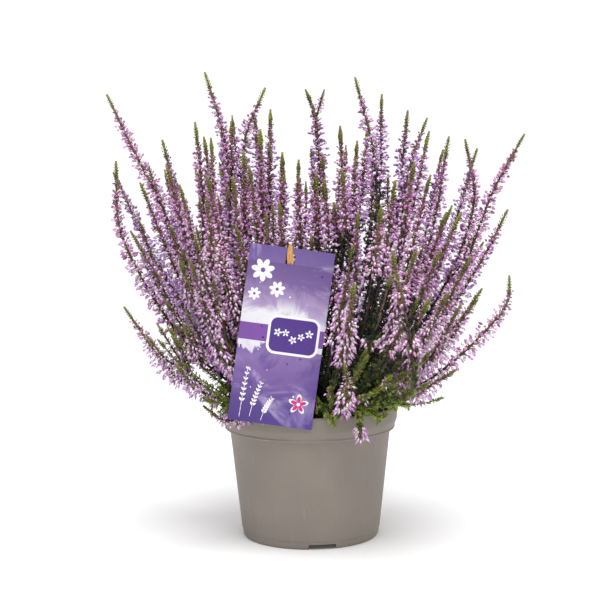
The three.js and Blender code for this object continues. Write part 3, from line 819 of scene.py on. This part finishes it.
def growTwigs(shoot, draw, part):
    path, total, leafy = shoot["path"], shoot["total"], shoot["leafy"]
    end = total - (4 if leafy else bloomOf(shoot) - 6)
    at = 8
    while at < total - 4:
        centre, ahead, across, upward = frameAt(path, min(at / total, 0.99))
        opened = inOpening(centre)
        if at > end and not opened:
            at += 2
            continue
        x, y, z = centre
        seen = opened or domeDepth(centre) > foliage["fineDepth"] or y < -42 and z < 150
        kind, half, lengths, pitch = (("fine", fineHalf, "fineLength", "finePitch") if seen
                                      else ("plain", plainHalf, "twigLength", "pairPitch"))
        nearRim = smoothStep(44, 60, math.hypot(x, y)) * smoothStep(124, 102, z)
        turn = math.pi * draw()
        for angle in (turn, turn + math.pi * (0.8 + 0.4 * draw())):
            out = turned(angle, across, upward)
            way = out * 0.9 + ahead * (0.45 + 0.5 * draw()) + upAxis * (0.3 - 0.55 * nearRim)
            length = between(foliage[lengths], draw())
            length *= (0.55 + 0.45 * smoothStep(6, 40, at)) * (0.6 if leafy else 1)
            finish = centre + unit(way) * length
            if insideCard(finish, 1) or hitsPot(finish):
                continue
            # painted light and shade: leaves are coloured bright at the rim and at the outside of the bush,
            # where light reaches them, and dark inside, high on the right and in the openings, where shade
            # falls
            lit = smoothStep(0.5, 1.05, domeDepth(finish)) * draw()
            shade = 1 - 0.75 * (finish[0] > 0) * smoothStep(125, 145, finish[2])
            bright = 0.06 + 0.4 * shade * lit + 1.1 * nearRim * draw() ** 1.3 + 0.45 * shade * leafy
            bright = min(1, bright) * (0.4 if opened else 1)
            part[kind].append((centre, way, across, length, half * length, half * length, draw(), bright))
        close = x > 0 and y < -35 and z < 150 or x < -45 and z < 115 or not seen and z < 145
        at += foliage[pitch] * (0.8 + 0.4 * draw()) * (0.7 if close else 1)


def growRimTufts(draw):
    # young shoots that rise from the peat inside the rim and lean out over it
    for k in range(rimTufts["count"]):
        out = turned(2 * math.pi * (k + 0.7 * draw()) / rimTufts["count"], xAxis, yAxis)
        path = [rimTufts["foot"] * out + (growth["soilTop"] - 1) * upAxis]
        for radii, heights in (rimTufts["crest"], rimTufts["tip"]):
            path.append(between(radii, draw()) * out + between(heights, draw()) * upAxis)
        path = smoothPath(path, 12)
        total = np.linalg.norm(np.diff(path, axis=0), axis=1).sum()
        part = grown["back" if out[1] > 0.3 else "left" if out[0] < -0.2 else "right"]
        if any(insideCard(point, 1) for point in path):
            continue
        part["stems"].append(tubeAlong(path, np.linspace(0.6, 0.3, len(path)), 4, 0.5))
        at = 9
        while at < total:
            centre, ahead, across, upward = frameAt(path, at / total)
            for turn in (draw(), draw() + 0.5):
                way = turned(2 * math.pi * turn, across, upward) * 0.8 + ahead * (0.5 + 0.4 * draw())
                length = between(foliage["fineLength"], draw()) * 0.85
                finish = centre + unit(way) * length
                if not insideCard(finish, 1) and not hitsPot(finish):
                    # painted light: the tuft's leaves are coloured brighter towards its outer end, out in the
                    # light
                    bright = min(1, 0.25 + 0.75 * smoothStep(0.3, 0.9, at / total) * (0.5 + 0.5 * draw()))
                    half = fineHalf * length
                    part["fine"].append((centre, way, across, length, half, half, draw(), bright))
            at += rimTufts["twigPitch"] * (0.8 + 0.4 * draw())


# Materials of the plant


def grainOn(material, shader, size, relief, rough):
    # fine noise with features of about that size in mm: it breaks up the gloss and gives a slight relief
    place = addNode(material, "ShaderNodeTexCoord", output="Object")
    noise = addNode(material, "ShaderNodeTexNoise", {"Scale": 1000 / size, "Detail": 4}, {"Vector": place})
    span = {"From Min": 0.3, "From Max": 0.7, "To Min": rough[0], "To Max": rough[1]}
    gloss = addNode(material, "ShaderNodeMapRange", span, {"Value": noise})
    linkTo(material, gloss, shader.inputs["Roughness"])
    bump = addNode(material, "ShaderNodeBump", {"Strength": 0.6, "Distance": relief * mm}, {"Height": noise})
    linkTo(material, bump, shader.inputs["Normal"])
    return place, noise


def plantMaterial(name, roughness, grain, rampOf, stops, products, layers, **sockets):
    # its values are the noise, what pieceFromArrays paints, and products: one value's range times another
    material, shader = newMaterial(name, roughness, **sockets)
    values = {"noise": grainOn(material, shader, *grain)[1]}
    paint = addNode(material, "ShaderNodeAttribute", attribute_name="paint")
    red = addNode(material, "ShaderNodeSeparateColor", links={"Color": paint})
    values.update(zip(("along", "tone", "glow"), red.node.outputs))
    for key, (first, span, curve, other) in products.items():
        within = addNode(material, "ShaderNodeMapRange", span, {"Value": values[first]},
                         interpolation_type=curve)
        values[key] = addNode(material, "ShaderNodeMath", links={0: within, 1: values[other]},
                              operation="MULTIPLY")
    base = addNode(material, "ShaderNodeValToRGB", links={"Fac": values[rampOf]}, stops=stops)
    colourLayers(material, shader, base, [(values[layer[0]], *layer[1:]) for layer in layers])
    return material


# waxy buds: cream at the foot, mauve to lilac from bud to bud, more of the pale on riper buds and low at the
# front; the brown at the very foot and the dark plum on buds with little pale are partly their own colour and
# partly painted shade
budColour = plantMaterial(
    "heather buds, waxy lilac", 0.55, (0.9, 0.08, (0.4, 0.65)),
    "tone", [(0, "a482de"), (0.25, "c088dc"), (0.6, "d68fd8"), (1, "e091cc")],
    {"pale foot": ("along", {"From Min": 0.8, "From Max": 0.25}, "SMOOTHSTEP", "glow")},
    # the dark plum on buds with little pale is partly their unripe colour and partly painted shade
    [("noise", 0.55, 0.8, 0.5, "e8b8e6"), ("glow", 0.3, 0.08, 0.75, "74426c"),
     # the brown at the very foot of a bud is partly its base and partly painted shade
     ("pale foot", 0.14, 0.42, 1, "fff2fd"), ("along", 0.2, 0, 0.9, "86604c")],
    Specular_IOR_Level=0.4)

# dry bracts and thin stalks: plum where the buds are young, olive low on the bush
bractColour = plantMaterial(
    "bracts and stalks, matt plum to olive", 0.6, (0.7, 0.06, (0.5, 0.75)),
    "glow", [(0, "a2766e"), (0.35, "b08c7c"), (0.7, "a6986c"), (1, "9ca25c")], {},
    [("tone", 0.4, 0.9, 0.85, "3c2026"), ("along", 0.6, 1, 0.4, "a4887a")])

# thin woody stems: bark brown at the foot, plum along the bloom, olive at the tip
stemColour = plantMaterial(
    "woody stems, fine bark", 0.7, (1.2, 0.15, (0.6, 0.85)),
    "along", [(0, "3a2d24"), (0.35, "3e2e26"), (0.62, "5c443c"), (0.88, "886456"), (1, "7c783e")], {},
    [("noise", 0.5, 0.7, 0.8, "33251f")])

# small scale leaves, coloured with painted shade and painted light: near black inside the bush, bright where
# light reaches them
unlit = {"From Max": 0.09, "To Min": 0.5}
leafColour = plantMaterial(
    "scale leaves, matt green", 0.55, (0.8, 0.06, (0.45, 0.7)),
    "glow", [(0, "17211a"), (0.25, "33482a"), (0.5, "5f7a34"), (1, "bcd650")],
    {"lit tone": ("glow", unlit, "LINEAR", "tone"), "lit end": ("glow", unlit, "LINEAR", "along")},
    [("lit tone", 0.6, 1, 0.7, "8f8c4a"), ("tone", 0.3, 0, 0.7, "24402a"),
     ("lit end", 0.55, 1, 0.45, "a4b058")],
    Specular_IOR_Level=0.4)

# the scaly green end of a spike
tipColour = plantMaterial(
    "spike tips, overlapping green scales", 0.5, (0.6, 0.05, (0.4, 0.65)),
    "tone", [(0, "6c6e2e"), (0.5, "7f862e"), (1, "98a83a")], {},
    [("along", 0.25, 0, 0.75, "66503c"), ("noise", 0.46, 0.66, 0.85, "4a4622"),
     ("along", 0.75, 1, 0.5, "6e5a34")],
    Specular_IOR_Level=0.4)


# Grow every shoot

# the parts of the bush by where their tips are, each with the far side of its stretch across
frontParts = {"far_left": -85, "left": -38, "middle": 24, "right": 72, "far_right": 999}
backParts = {"back_left": -35, "back": 35, "back_right": 999}


def partOf(index):
    x = np.mean([path[-1][0] for path in sprays[index][0]])
    parts = frontParts if index < len(frontSprays) else backParts
    return next(name for name, farSide in parts.items() if x < farSide)


grown = {name: {kind: [] for kind in ("buds", "stalks", "bracts", "fine", "plain", "tips", "stems")}
         for name in (*frontParts, *backParts)}
addSideSpikes(shoots, makeRandom(sideSpikes["seed"]))
bloomRandom, leafRandom = makeRandom(flowers["seed"]), makeRandom(foliage["seed"])
for shoot in shoots:
    part = grown[partOf(shoot["spray"])]
    path, total, leafy = shoot["path"], shoot["total"], shoot["leafy"]
    course = smoothPath(path, max(4, round(total / 7)))
    thick = (1 - 0.25 * np.linspace(0, 1, len(course))) * (0.5 if leafy else 0.75 if "slim" in shoot else 1)
    part["stems"].append(tubeAlong(course, thick, 5, bloomRandom()))
    if not shoot.get("twin"):
        growTwigs(shoot, leafRandom, part)
    x, y, z = path[-1]
    # a few leafy shoots low at the front right bloom at their end too
    if not leafy or x > 0 and y < -60 and 100 < z < 130:
        growSpike(shoot, bloomRandom, part)
    length = foliage["tipLength"] * (0.85 + 0.3 * bloomRandom())
    length *= 0.8 if leafy or "slim" in shoot else 1
    start, ahead, across, upward = frameAt(path, max(0.3, 1 - length / total))
    if not insideCard(path[-1], 1) and z > potForm["height"] - 2:
        half = 1.2 * tipHalf * length
        part["tips"].append((start, path[-1] - start, across, length, half, half, bloomRandom(), 0.5))
growRimTufts(makeRandom(rimTufts["seed"]))
for index, foot in enumerate(feet):
    trunk = np.array([[*foot, z] for z in (68, 78, 88.6)])
    grown[partOf(index)]["stems"].append(tubeAlong(trunk, [1.6, 1.5, 1.3], 6, 0.5))


def gather(names, kinds):
    return joined([placeMany(shape, grown[name][kind]) for name in names for kind, shape in kinds.items()
                   if grown[name][kind]])


for name, part in grown.items():
    piece = pieceFromArrays("buds_" + name, gather([name], {"buds": budShape}), budColour)
    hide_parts(*["spray_%02d" % (i + 1) for i in range(len(sprays)) if partOf(i) == name])
    print(name, "buds", len(part["buds"]), "twigs", len(part["fine"]) + len(part["plain"]))
for side, names in (("left", ["far_left", "left"]), ("right", ["middle", "right", "far_right"]),
                    ("back", backParts)):
    stalks = gather(names, {"stalks": bladeShape, "bracts": bladeShape})
    pieceFromArrays("stalks_" + side, stalks, bractColour)
    leaves = gather(names, {"fine": fineTwig, "plain": plainTwig})
    pieceFromArrays("leaves_" + side, leaves, leafColour)
pieceFromArrays("spike_tips", gather(grown, {"tips": tipShape}), tipColour)
stems = joined([tube for part in grown.values() for tube in part["stems"]])
pieceFromArrays("woody_stems", stems, stemColour)
print("heather grown")


# Pot


def softened(outline, radius):
    # each corner of an open outline gives way to a short curve
    points = [np.array(p, float) for p in outline]
    made = [points[0]]
    for before, corner, after in zip(points, points[1:], points[2:]):
        back, on = before - corner, after - corner
        reach = min(radius, 0.45 * np.linalg.norm(back), 0.45 * np.linalg.norm(on))
        first, last = corner + unit(back) * reach, corner + unit(on) * reach
        for t in (0, 0.33, 0.67, 1):
            made.append((1 - t) ** 2 * first + 2 * t * (1 - t) * corner + t * t * last)
    return made + [points[-1]]


def spun(outline, steps):
    bm = bmesh.new()
    rim = [bm.verts.new((radius, 0, height)) for radius, height in outline]
    edges = [bm.edges.new(pair) for pair in zip(rim, rim[1:])]
    bmesh.ops.spin(bm, geom=rim + edges, cent=(0, 0, 0), axis=(0, 0, 1), angle=2 * math.pi, steps=steps,
                   use_merge=True, use_duplicate=False)
    bmesh.ops.remove_doubles(bm, verts=bm.verts, dist=1e-3)
    bmesh.ops.dissolve_degenerate(bm, edges=bm.edges, dist=1e-4)
    bmesh.ops.recalc_face_normals(bm, faces=bm.faces)
    return bm


def sharpen(mesh, angle):
    bm = bmesh.new()
    bm.from_mesh(mesh)
    for edge in bm.edges:
        if len(edge.link_faces) == 2 and edge.calc_face_angle(0) > angle:
            edge.smooth = False
    bm.to_mesh(mesh)
    bm.free()


def addPiece(piece, slot, *nodes):
    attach(piece, "root")
    if nodes:
        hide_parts(*nodes)
    return piece


# matt polypropylene: a taupe that varies a little, fine moulded grain, faint scuffs running down
potColour, shader = newMaterial("pot, matt moulded plastic", 0.6, Specular_IOR_Level=0.4)
place, noise = grainOn(potColour, shader, 1.4, 0.04, (0.5, 0.66))
wide = addNode(potColour, "ShaderNodeTexNoise", {"Scale": 30, "Detail": 3}, {"Vector": place})
hue = addNode(potColour, "ShaderNodeValToRGB", links={"Fac": wide},
              stops=[(0.3, "857c76"), (0.5, "8a8178"), (0.7, "8f867d")])
stretch = addNode(potColour, "ShaderNodeMapping", {"Scale": (420, 420, 26)}, {"Vector": place})
scuff = addNode(potColour, "ShaderNodeTexNoise", {"Scale": 1, "Detail": 3}, {"Vector": stretch})
colourLayers(potColour, shader, hue, [
    (scuff, 0.62, 0.76, 0.22, "a9a199"), (noise, 0.58, 0.75, 0.22, "7f766d")])

potTop, rim, band, body, base, wall, raised, pad = (potForm[key] for key in (
    "height", "rimRadius", "bandFoot", "bodyTopRadius", "baseRadius", "wall", "floorRaise", "padRadius"))
potOutline = softened([
    (0, 0), (pad, 0), (pad + 2, raised), (42.6, raised), (43.2, 0), (base - 1, 0),
    (base + 0.2, 1.5), (base + 0.55, 5.2), (base + 0.95, 5.6), (body, band - 0.4), (body + 2.2, band),
    (body + 3.1, band + 0.5), (body + 3.3, band + 1.2), (body + 2.9, band + 1.9), (body + 3.4, band + 3.2),
    (rim - 0.9, band + 6.5), (rim, potTop - 1.2), (rim - 1, potTop), (rim - 2.1, potTop - 1.2),
    (body + 2.4, band + 5), (body - wall, band - 1), (base - 1.6, raised + 1.8), (pad + 1, raised + 1.8),
    (pad - 1.2, 1.8), (0, 1.8),
], 0.5)
pot = meshFromBmesh("nursery_pot", spun(potOutline, 120), potColour)
notchDepth = 8
cuts = bmesh.new()
for degrees in potForm["notchAngles"]:
    turn = Matrix.Rotation(math.radians(degrees - 90), 4, "Z")
    sizes = Matrix.Diagonal((notchDepth, potForm["notchWidth"], 2 * potForm["notchHeight"], 1))
    place = turn @ Matrix.Translation((base - 0.5, 0, 0)) @ sizes
    block = bmesh.ops.create_cube(cuts, size=1, matrix=place)["verts"]
    upper = [e for v in block for e in v.link_edges
             if min(end.co.z for end in e.verts) > 0 and e.calc_length() < notchDepth + 1]
    bmesh.ops.bevel(cuts, geom=list(dict.fromkeys(upper)), offset=1.2, segments=3, affect="EDGES",
                    profile=0.5, material=-1)
for i in range(potForm["drainHoles"]):
    spot = turned((i + 0.5) / potForm["drainHoles"] * 2 * math.pi, xAxis, yAxis) * potForm["drainRing"]
    radius = potForm["drainRadius"]
    bmesh.ops.create_cone(cuts, cap_ends=True, segments=28, radius1=radius, radius2=radius, depth=8,
                          matrix=Matrix.Translation(spot + raised * upAxis))
cutter = meshFromBmesh("pot_cuts", cuts, potColour)
cut = pot.modifiers.new("openings", "BOOLEAN")
cut.object = cutter
cut.operation = "DIFFERENCE"
cut.solver = "EXACT"
bpy.context.view_layer.update()
finished = bpy.data.meshes.new_from_object(pot.evaluated_get(bpy.context.evaluated_depsgraph_get()))
pot.modifiers.clear()
pot.data = finished
bpy.data.objects.remove(cutter)
sharpen(pot.data, 0.7)
addPiece(pot, "pot_plastic", "pot")
print("pot:", len(pot.data.polygons), "faces")


# Root ball

peat = {
    "crumbs": 700,
    "crumbSize": (0.7, 2.4),
    "fibres": 160,
    "fibreLength": (4, 11),
    "ripple": 1.1,
    "crown": 1.2,                 # how far its middle stands above the soil's level
    "seed": 5,
}

# dark damp peat that breaks up into crumbs, lighter where it dries
soilColour, shader = newMaterial("peat, damp and crumbly", 0.9, Specular_IOR_Level=0.25)
noise = grainOn(soilColour, shader, 2.2, 0.8, (0.75, 0.98))[1]
hue = addNode(soilColour, "ShaderNodeValToRGB", links={"Fac": noise},
              stops=[(0.3, "15100c"), (0.5, "231a14"), (0.7, "3d2e22")])
linkTo(soilColour, hue, shader.inputs["Base Color"])


def peatHeight(out):
    return growth["soilTop"] + peat["crown"] - 1.6 * (out / 46) ** 2


def peatWave(x, y):
    return 0.7 * math.sin(0.21 * x + 1) * math.cos(0.17 * y)


shoulder = growth["soilTop"] - 2.4
peatRadius = body - wall + (shoulder - band + 1) * 0.6 - 0.9
ballOutline = [(0, 2.15), (pad - 1.9, 2.15), (pad + 0.7, raised + 2.15), (base - 2.4, raised + 2.15),
               (body - wall - 0.9, band - 1), (peatRadius, shoulder)]
ballOutline += [(r, peatHeight(r)) for r in (*range(50, 0, -3), 0)]
ball = spun(ballOutline, 90)
for vert in ball.verts:
    x, y, z = vert.co
    if z > growth["soilTop"] - 1.5:
        rough = math.sin(1.3 * x + 2 * math.sin(0.9 * y)) * math.cos(1.1 * y + 0.7 * x)
        vert.co.z += peatWave(x, y) + 0.35 * peat["ripple"] * rough
addPiece(meshFromBmesh("root_ball", ball, soilColour), "peat", "soil")

draw = makeRandom(peat["seed"])
crumbBm = bmesh.new()
bmesh.ops.create_icosphere(crumbBm, subdivisions=1, radius=1)
for vert in crumbBm.verts:
    vert.co *= 0.75 + 0.5 * draw()
crumbShape = shapeOf(crumbBm)
crumbs, fibres = [], []
for i in range(peat["crumbs"] + peat["fibres"]):
    out, heading = 52 * math.sqrt(draw()), 2 * math.pi * draw()
    spot = out * turned(heading, xAxis, yAxis)
    spot[2] = peatHeight(out) - 0.2 + peatWave(spot[0], spot[1])
    way = np.array([draw() - 0.5, draw() - 0.5, 0.5 * draw()])
    if i < peat["crumbs"]:
        size = between(peat["crumbSize"], draw() ** 2)
        crumbs.append((spot, way, upAxis + 0.1, size, size * (0.6 + 0.5 * draw()), size * 0.6, draw(), 0.5))
    else:
        length = between(peat["fibreLength"], draw())
        fibres.append((spot - 0.2, way * (1, 1, 0.3), upAxis, length, 0.25, 0.25, draw(), 0.5))
scattered = joined([placeMany(crumbShape, crumbs), placeMany(bladeShape, fibres)])
pieceFromArrays("peat_crumbs", scattered, soilColour)


# Stake

# pale planed wood with a fine straight grain
woodColour, shader = newMaterial("stake, planed pale wood", 0.6)
place, noise = grainOn(woodColour, shader, 1.5, 0.05, (0.5, 0.7))
stretch = addNode(woodColour, "ShaderNodeMapping", {"Scale": (1400, 1400, 60)}, {"Vector": place})
grain = addNode(woodColour, "ShaderNodeTexNoise", {"Scale": 1, "Detail": 4}, {"Vector": stretch})
hue = addNode(woodColour, "ShaderNodeValToRGB", links={"Fac": grain},
              stops=[(0.3, "b98544"), (0.5, "d8a35c"), (0.7, "e2b878")])
linkTo(woodColour, hue, shader.inputs["Base Color"])

# its side from the foot up to the rounded point: how far inside the full width, how far below the top
stakeSide = [(0, stick["top"] - stick["foot"]), (0, 13), (0, 8), (0.4, 3.6), (1.0, 1.2), (1.7, 0)]
half = stick["width"] / 2
outline = [(half - inset, stick["top"] - below) for inset, below in stakeSide]
outline = [(-half, stick["foot"])] + outline + [(-x, z) for x, z in outline[:0:-1]]
wood = bmesh.new()
sheet = wood.faces.new([wood.verts.new((x, -stick["thick"] / 2, z)) for x, z in outline])
drawn = bmesh.ops.extrude_face_region(wood, geom=[sheet])["geom"]
farSide = [part for part in drawn if isinstance(part, bmesh.types.BMVert)]
bmesh.ops.translate(wood, vec=(0, stick["thick"], 0), verts=farSide)
bmesh.ops.recalc_face_normals(wood, faces=wood.faces)
edges = [e for e in wood.edges if e.calc_face_angle(0) > 0.8]
bmesh.ops.bevel(wood, geom=edges, offset=0.3, segments=2, affect="EDGES", profile=0.5, material=-1)
for vert in wood.verts:
    vert.co.x += stick["across"]
    vert.co.y += stakeMiddle(vert.co.z)
addPiece(meshFromBmesh("wooden_stake", wood, woodColour, smooth=False), "stake_wood", "stake")


# Label

cardMiddle = np.array([card["centre"][0], card["face"], card["centre"][1]])
cardAcross, cardUp = turned(cardTurn, xAxis, upAxis), turned(cardTurn, upAxis, -xAxis)


def onCard(across, up):
    # a point of the card's front, from its middle
    return cardMiddle + across * cardAcross + up * cardUp + float(bentBack(up)) * yAxis


# coated card with a violet wash in soft clouds, white across the middle
cardColour, shader = newMaterial("label card, satin coated", 0.4, Coat_Weight=0.15, Coat_Roughness=0.3)
place, noise = grainOn(cardColour, shader, 1.1, 0.01, (0.34, 0.46))
fromMiddle = addNode(cardColour, "ShaderNodeVectorMath", {1: tuple(cardMiddle * mm)}, {0: place},
                     operation="SUBTRACT")
sideways, upwards = (addNode(cardColour, "ShaderNodeVectorMath", {1: tuple(axis)}, {0: fromMiddle},
                             output="Value", operation="DOT_PRODUCT") for axis in (cardAcross, cardUp))
cloud = addNode(cardColour, "ShaderNodeTexNoise",
                {"Scale": 42, "Detail": 6, "Roughness": 0.62, "Distortion": 0.8}, {"Vector": place})
sway = addNode(cardColour, "ShaderNodeMapRange",
               {"From Min": 0.2, "From Max": 0.8, "To Min": -0.014, "To Max": 0.014}, {"Value": cloud})
height = addNode(cardColour, "ShaderNodeMath", links={0: upwards, 1: sway}, operation="ADD")
edge = 0.0568                     # metres from the card's middle to its upper and lower edge
share = addNode(cardColour, "ShaderNodeMapRange", {"From Min": -edge, "From Max": edge}, {"Value": height})
wash = addNode(cardColour, "ShaderNodeValToRGB", links={"Fac": share}, stops=[
    (0, "432a7c"), (0.12, "553886"), (0.26, "75589c"), (0.38, "886ca8"), (0.42, "775ea4"), (0.44, "e6e4ea"),
    (0.62, "eae9ee"), (0.68, "ac96c0"), (0.8, "775c98"), (1, "5a4284")])
corner = addNode(cardColour, "ShaderNodeMath", links={0: sideways, 1: height}, operation="SUBTRACT")
colourLayers(cardColour, shader, wash, [
    (cloud, 0.52, 0.68, 0.6, "c2b2d8"), (cloud, 0.44, 0.32, 0.5, "4c3488"),
    (corner, 0.035, 0.075, 0.7, "4f2c92")])
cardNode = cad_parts["label"]
cardNode.data.materials.clear()
cardNode.data.materials.append(cardColour)


def inkMaterial(name, hexCode, worn):
    # flat ink with faint worn specks
    ink, shader = newMaterial(name, 0.42)
    noise = grainOn(ink, shader, 0.8, 0.01, (0.36, 0.5))[1]
    hue = addNode(ink, "ShaderNodeValToRGB", links={"Fac": noise}, stops=[(0.5, hexCode), (0.85, worn)])
    linkTo(ink, hue, shader.inputs["Base Color"])
    return ink


whiteInk = inkMaterial("print, matt white", "fbfafc", "eeebf4")
violetInk = inkMaterial("print, violet", "7a4aa2", "8a5cb0")
deepInk = inkMaterial("print, deep violet", "4d2b86", "5a3894")
pinkInk = inkMaterial("print, magenta", "d81478", "e04a92")

motifs = {
    "plaque": (7.5, 1.5),         # across and up, from the card's middle
    "plaqueSize": (33, 25),
    "plaqueCorner": 5.5,
    "stripeHeight": 11,
    "sprigs": ((-20, -54, 31, 4), (-13.5, -53, 22, 16), (-6, -54.5, 15, 26)),   # across, up, height, lean
    "daisies": ((-17, 41, 7.5), (-6.5, 30, 5.2), (-20.5, 25.5, 4.2)),           # across, up, size
    "magenta": (16.5, -41.5, 5.2),
    "spots": 26,
    "seed": 3,
}
prints = {"white": [], "violet": [], "dark": [], "magenta": []}


def dot(ink, across, up, wide, deep, turn, lift):
    # an oval disc that stands off the card by its thickness, lift
    way = turned(turn, cardAcross, cardUp)
    prints[ink].append((onCard(across, up), -yAxis, way, lift, wide, deep, 0.5, 0.5))


def blossom(petals, heart, across, up, size, count, start=0.3, lift=0.06):
    for k in range(count):
        turn = start + k * 2 * math.pi / count
        x, y = across + 0.58 * size * math.cos(turn), up + 0.58 * size * math.sin(turn)
        dot(petals, x, y, 0.42 * size, 0.24 * size, turn, lift)
    dot(heart, across, up, 0.2 * size, 0.2 * size, 0, lift + 0.03)


def sprig(across, up, height, lean):
    # a stem with pairs of small buds that shrink towards the top
    steps = 9
    step = height / steps
    spot = np.array([across, up], float)
    for k in range(steps):
        share = k / steps
        turn = math.pi / 2 - math.radians(lean) * (0.4 + 0.8 * share)
        ahead = np.array([math.cos(turn), math.sin(turn)])
        spot = spot + step * ahead
        dot("white", *(spot - 0.5 * step * ahead), 0.62 * step, 0.2, turn, 0.05)
        for side in (-1, 1) if k > 1 else ():
            bud = turn + side * 0.75
            size = 1.7 * (1 - 0.5 * share)
            x, y = spot + 1.1 * np.array([math.cos(bud), math.sin(bud)])
            dot("white", x, y, size, 0.42 * size, bud, 0.07)
    dot("white", spot[0], spot[1] + 0.8, 1.1, 0.42, math.pi / 2, 0.07)


def plaque(name, across, up, width, height, corner, thick, ink):
    bm = bmesh.new()
    bmesh.ops.create_cube(bm, size=1)
    bmesh.ops.scale(bm, vec=(width, thick, height), verts=bm.verts)
    upright = [e for e in bm.edges if abs(e.verts[0].co.y - e.verts[1].co.y) > 0.5 * thick]
    bmesh.ops.bevel(bm, geom=upright, offset=corner, segments=6, affect="EDGES", profile=0.5, material=-1)
    bmesh.ops.translate(bm, vec=(0, -thick / 2, 0), verts=bm.verts)
    bmesh.ops.rotate(bm, matrix=Matrix.Rotation(-cardTurn, 3, "Y"), verts=bm.verts)
    bmesh.ops.translate(bm, vec=tuple(onCard(across, up)), verts=bm.verts)
    addPiece(meshFromBmesh(name, bm, ink, smooth=False), "label_card")


for place in motifs["sprigs"]:
    sprig(*place)
for place in motifs["daisies"]:
    blossom("white", "violet", *place, 7)
across, up, size = motifs["magenta"]
blossom("white", "white", across, up, size * 1.28, 5, lift=0.05)
blossom("magenta", "white", across, up, size, 5, lift=0.09)
draw = makeRandom(motifs["seed"])
for i in range(motifs["spots"]):
    across, up = 50 * (draw() - 0.5), 108 * (draw() - 0.5)
    size = 0.3 + 0.5 * draw() ** 2
    dot(("white", "dark", "magenta", "white")[i % 4], across, min(up, 45), size, size, 0, 0.04)
across, up = motifs["plaque"]
(width, height), corner = motifs["plaqueSize"], motifs["plaqueCorner"]
plaque("label_plaque_edge", across, up, width, height, corner, 0.1, whiteInk)
plaque("label_plaque", across, up, width - 3.2, height - 3.2, corner - 1.2, 0.14, deepInk)
plaque("label_stripe", 0, up, card["width"] - 0.1, motifs["stripeHeight"], 0.02, 0.04, violetInk)
for k in range(5):
    place = (across - 10 + 5 * k, up + 2.6 * math.sin(1.9 * k + 0.6))
    blossom("white", "violet", *place, 2.7 - 0.25 * (k % 2), 5, start=0.4 * k, lift=0.2)
disc = discShape(14)
for key, ink in (("white", whiteInk), ("violet", violetInk), ("dark", deepInk), ("magenta", pinkInk)):
    pieceFromArrays("label_" + key + "_print", placeMany(disc, prints[key]), ink, smooth=False)
print("label printed")


# Camera, floor and light

pitch, roll = math.radians(shot["pitch"]), math.radians(shot["roll"])
forward, up = Vector((0, math.cos(pitch), -math.sin(pitch))), Vector((0, math.sin(pitch), math.cos(pitch)))
right = Vector((1, 0, 0))
right, up = turned(roll, right, up), turned(roll, up, -right)
camera = bpy.data.objects.new("camera", bpy.data.cameras.new("camera"))
bpy.context.scene.collection.objects.link(camera)
spot = Vector((shot["across"], -shot["distance"], shot["height"])) * mm
camera.matrix_world = Matrix.Translation(spot) @ Matrix((right, up, -forward)).transposed().to_4x4()
camera.data.sensor_width = 36
camera.data.lens = shot["focalPixels"] / 600 * camera.data.sensor_width
camera.data.clip_start = 0.05
bpy.context.scene.camera = camera


def stageSheet(name, materialName, hexCode, glow, size):
    # a large flat sheet that glows faintly, so that it stays white away from the plant
    colour, shader = newMaterial(materialName, 0.9, Emission_Strength=glow)
    grainOn(colour, shader, 6, 0.02, (0.85, 0.95))
    shader.inputs["Base Color"].default_value = linearColour(hexCode)
    shader.inputs["Emission Color"].default_value = linearColour("ffffff")
    bm = bmesh.new()
    bmesh.ops.create_grid(bm, x_segments=1, y_segments=1, size=size)
    return bm, colour


ground, colour = stageSheet("floor", "floor, lit white acrylic", "f7f7f7", 0.03, 3000)
meshFromBmesh("floor", ground, colour)
wallSheet, colour = stageSheet("backdrop", "backdrop, white and lit", "000000", 1.05, 1500)
bmesh.ops.rotate(wallSheet, verts=wallSheet.verts, matrix=Matrix.Rotation(math.pi / 2, 3, "X"))
bmesh.ops.translate(wallSheet, verts=wallSheet.verts, vec=(0, 1300, 1498))
meshFromBmesh("backdrop", wallSheet, colour)

lamp = bpy.data.lights.new("softbox", "AREA")
lamp.shape = "DISK"
lamp.size = 1.7
lamp.energy = 39.5
softbox = bpy.data.objects.new("softbox", lamp)
bpy.context.scene.collection.objects.link(softbox)
softbox.location = (0.09, -0.55, 1.8)
softbox.rotation_mode = "QUATERNION"
softbox.rotation_quaternion = (Vector((0, 0, 0.15)) - softbox.location).to_track_quat("-Z", "Y")

world = bpy.data.worlds.new("white room")
bpy.context.scene.world = world
world.use_nodes = True
world.node_tree.nodes["Background"].inputs["Color"].default_value = linearColour("ffffff")
world.node_tree.nodes["Background"].inputs["Strength"].default_value = 0.45
bpy.context.scene.view_settings.view_transform = "Standard"
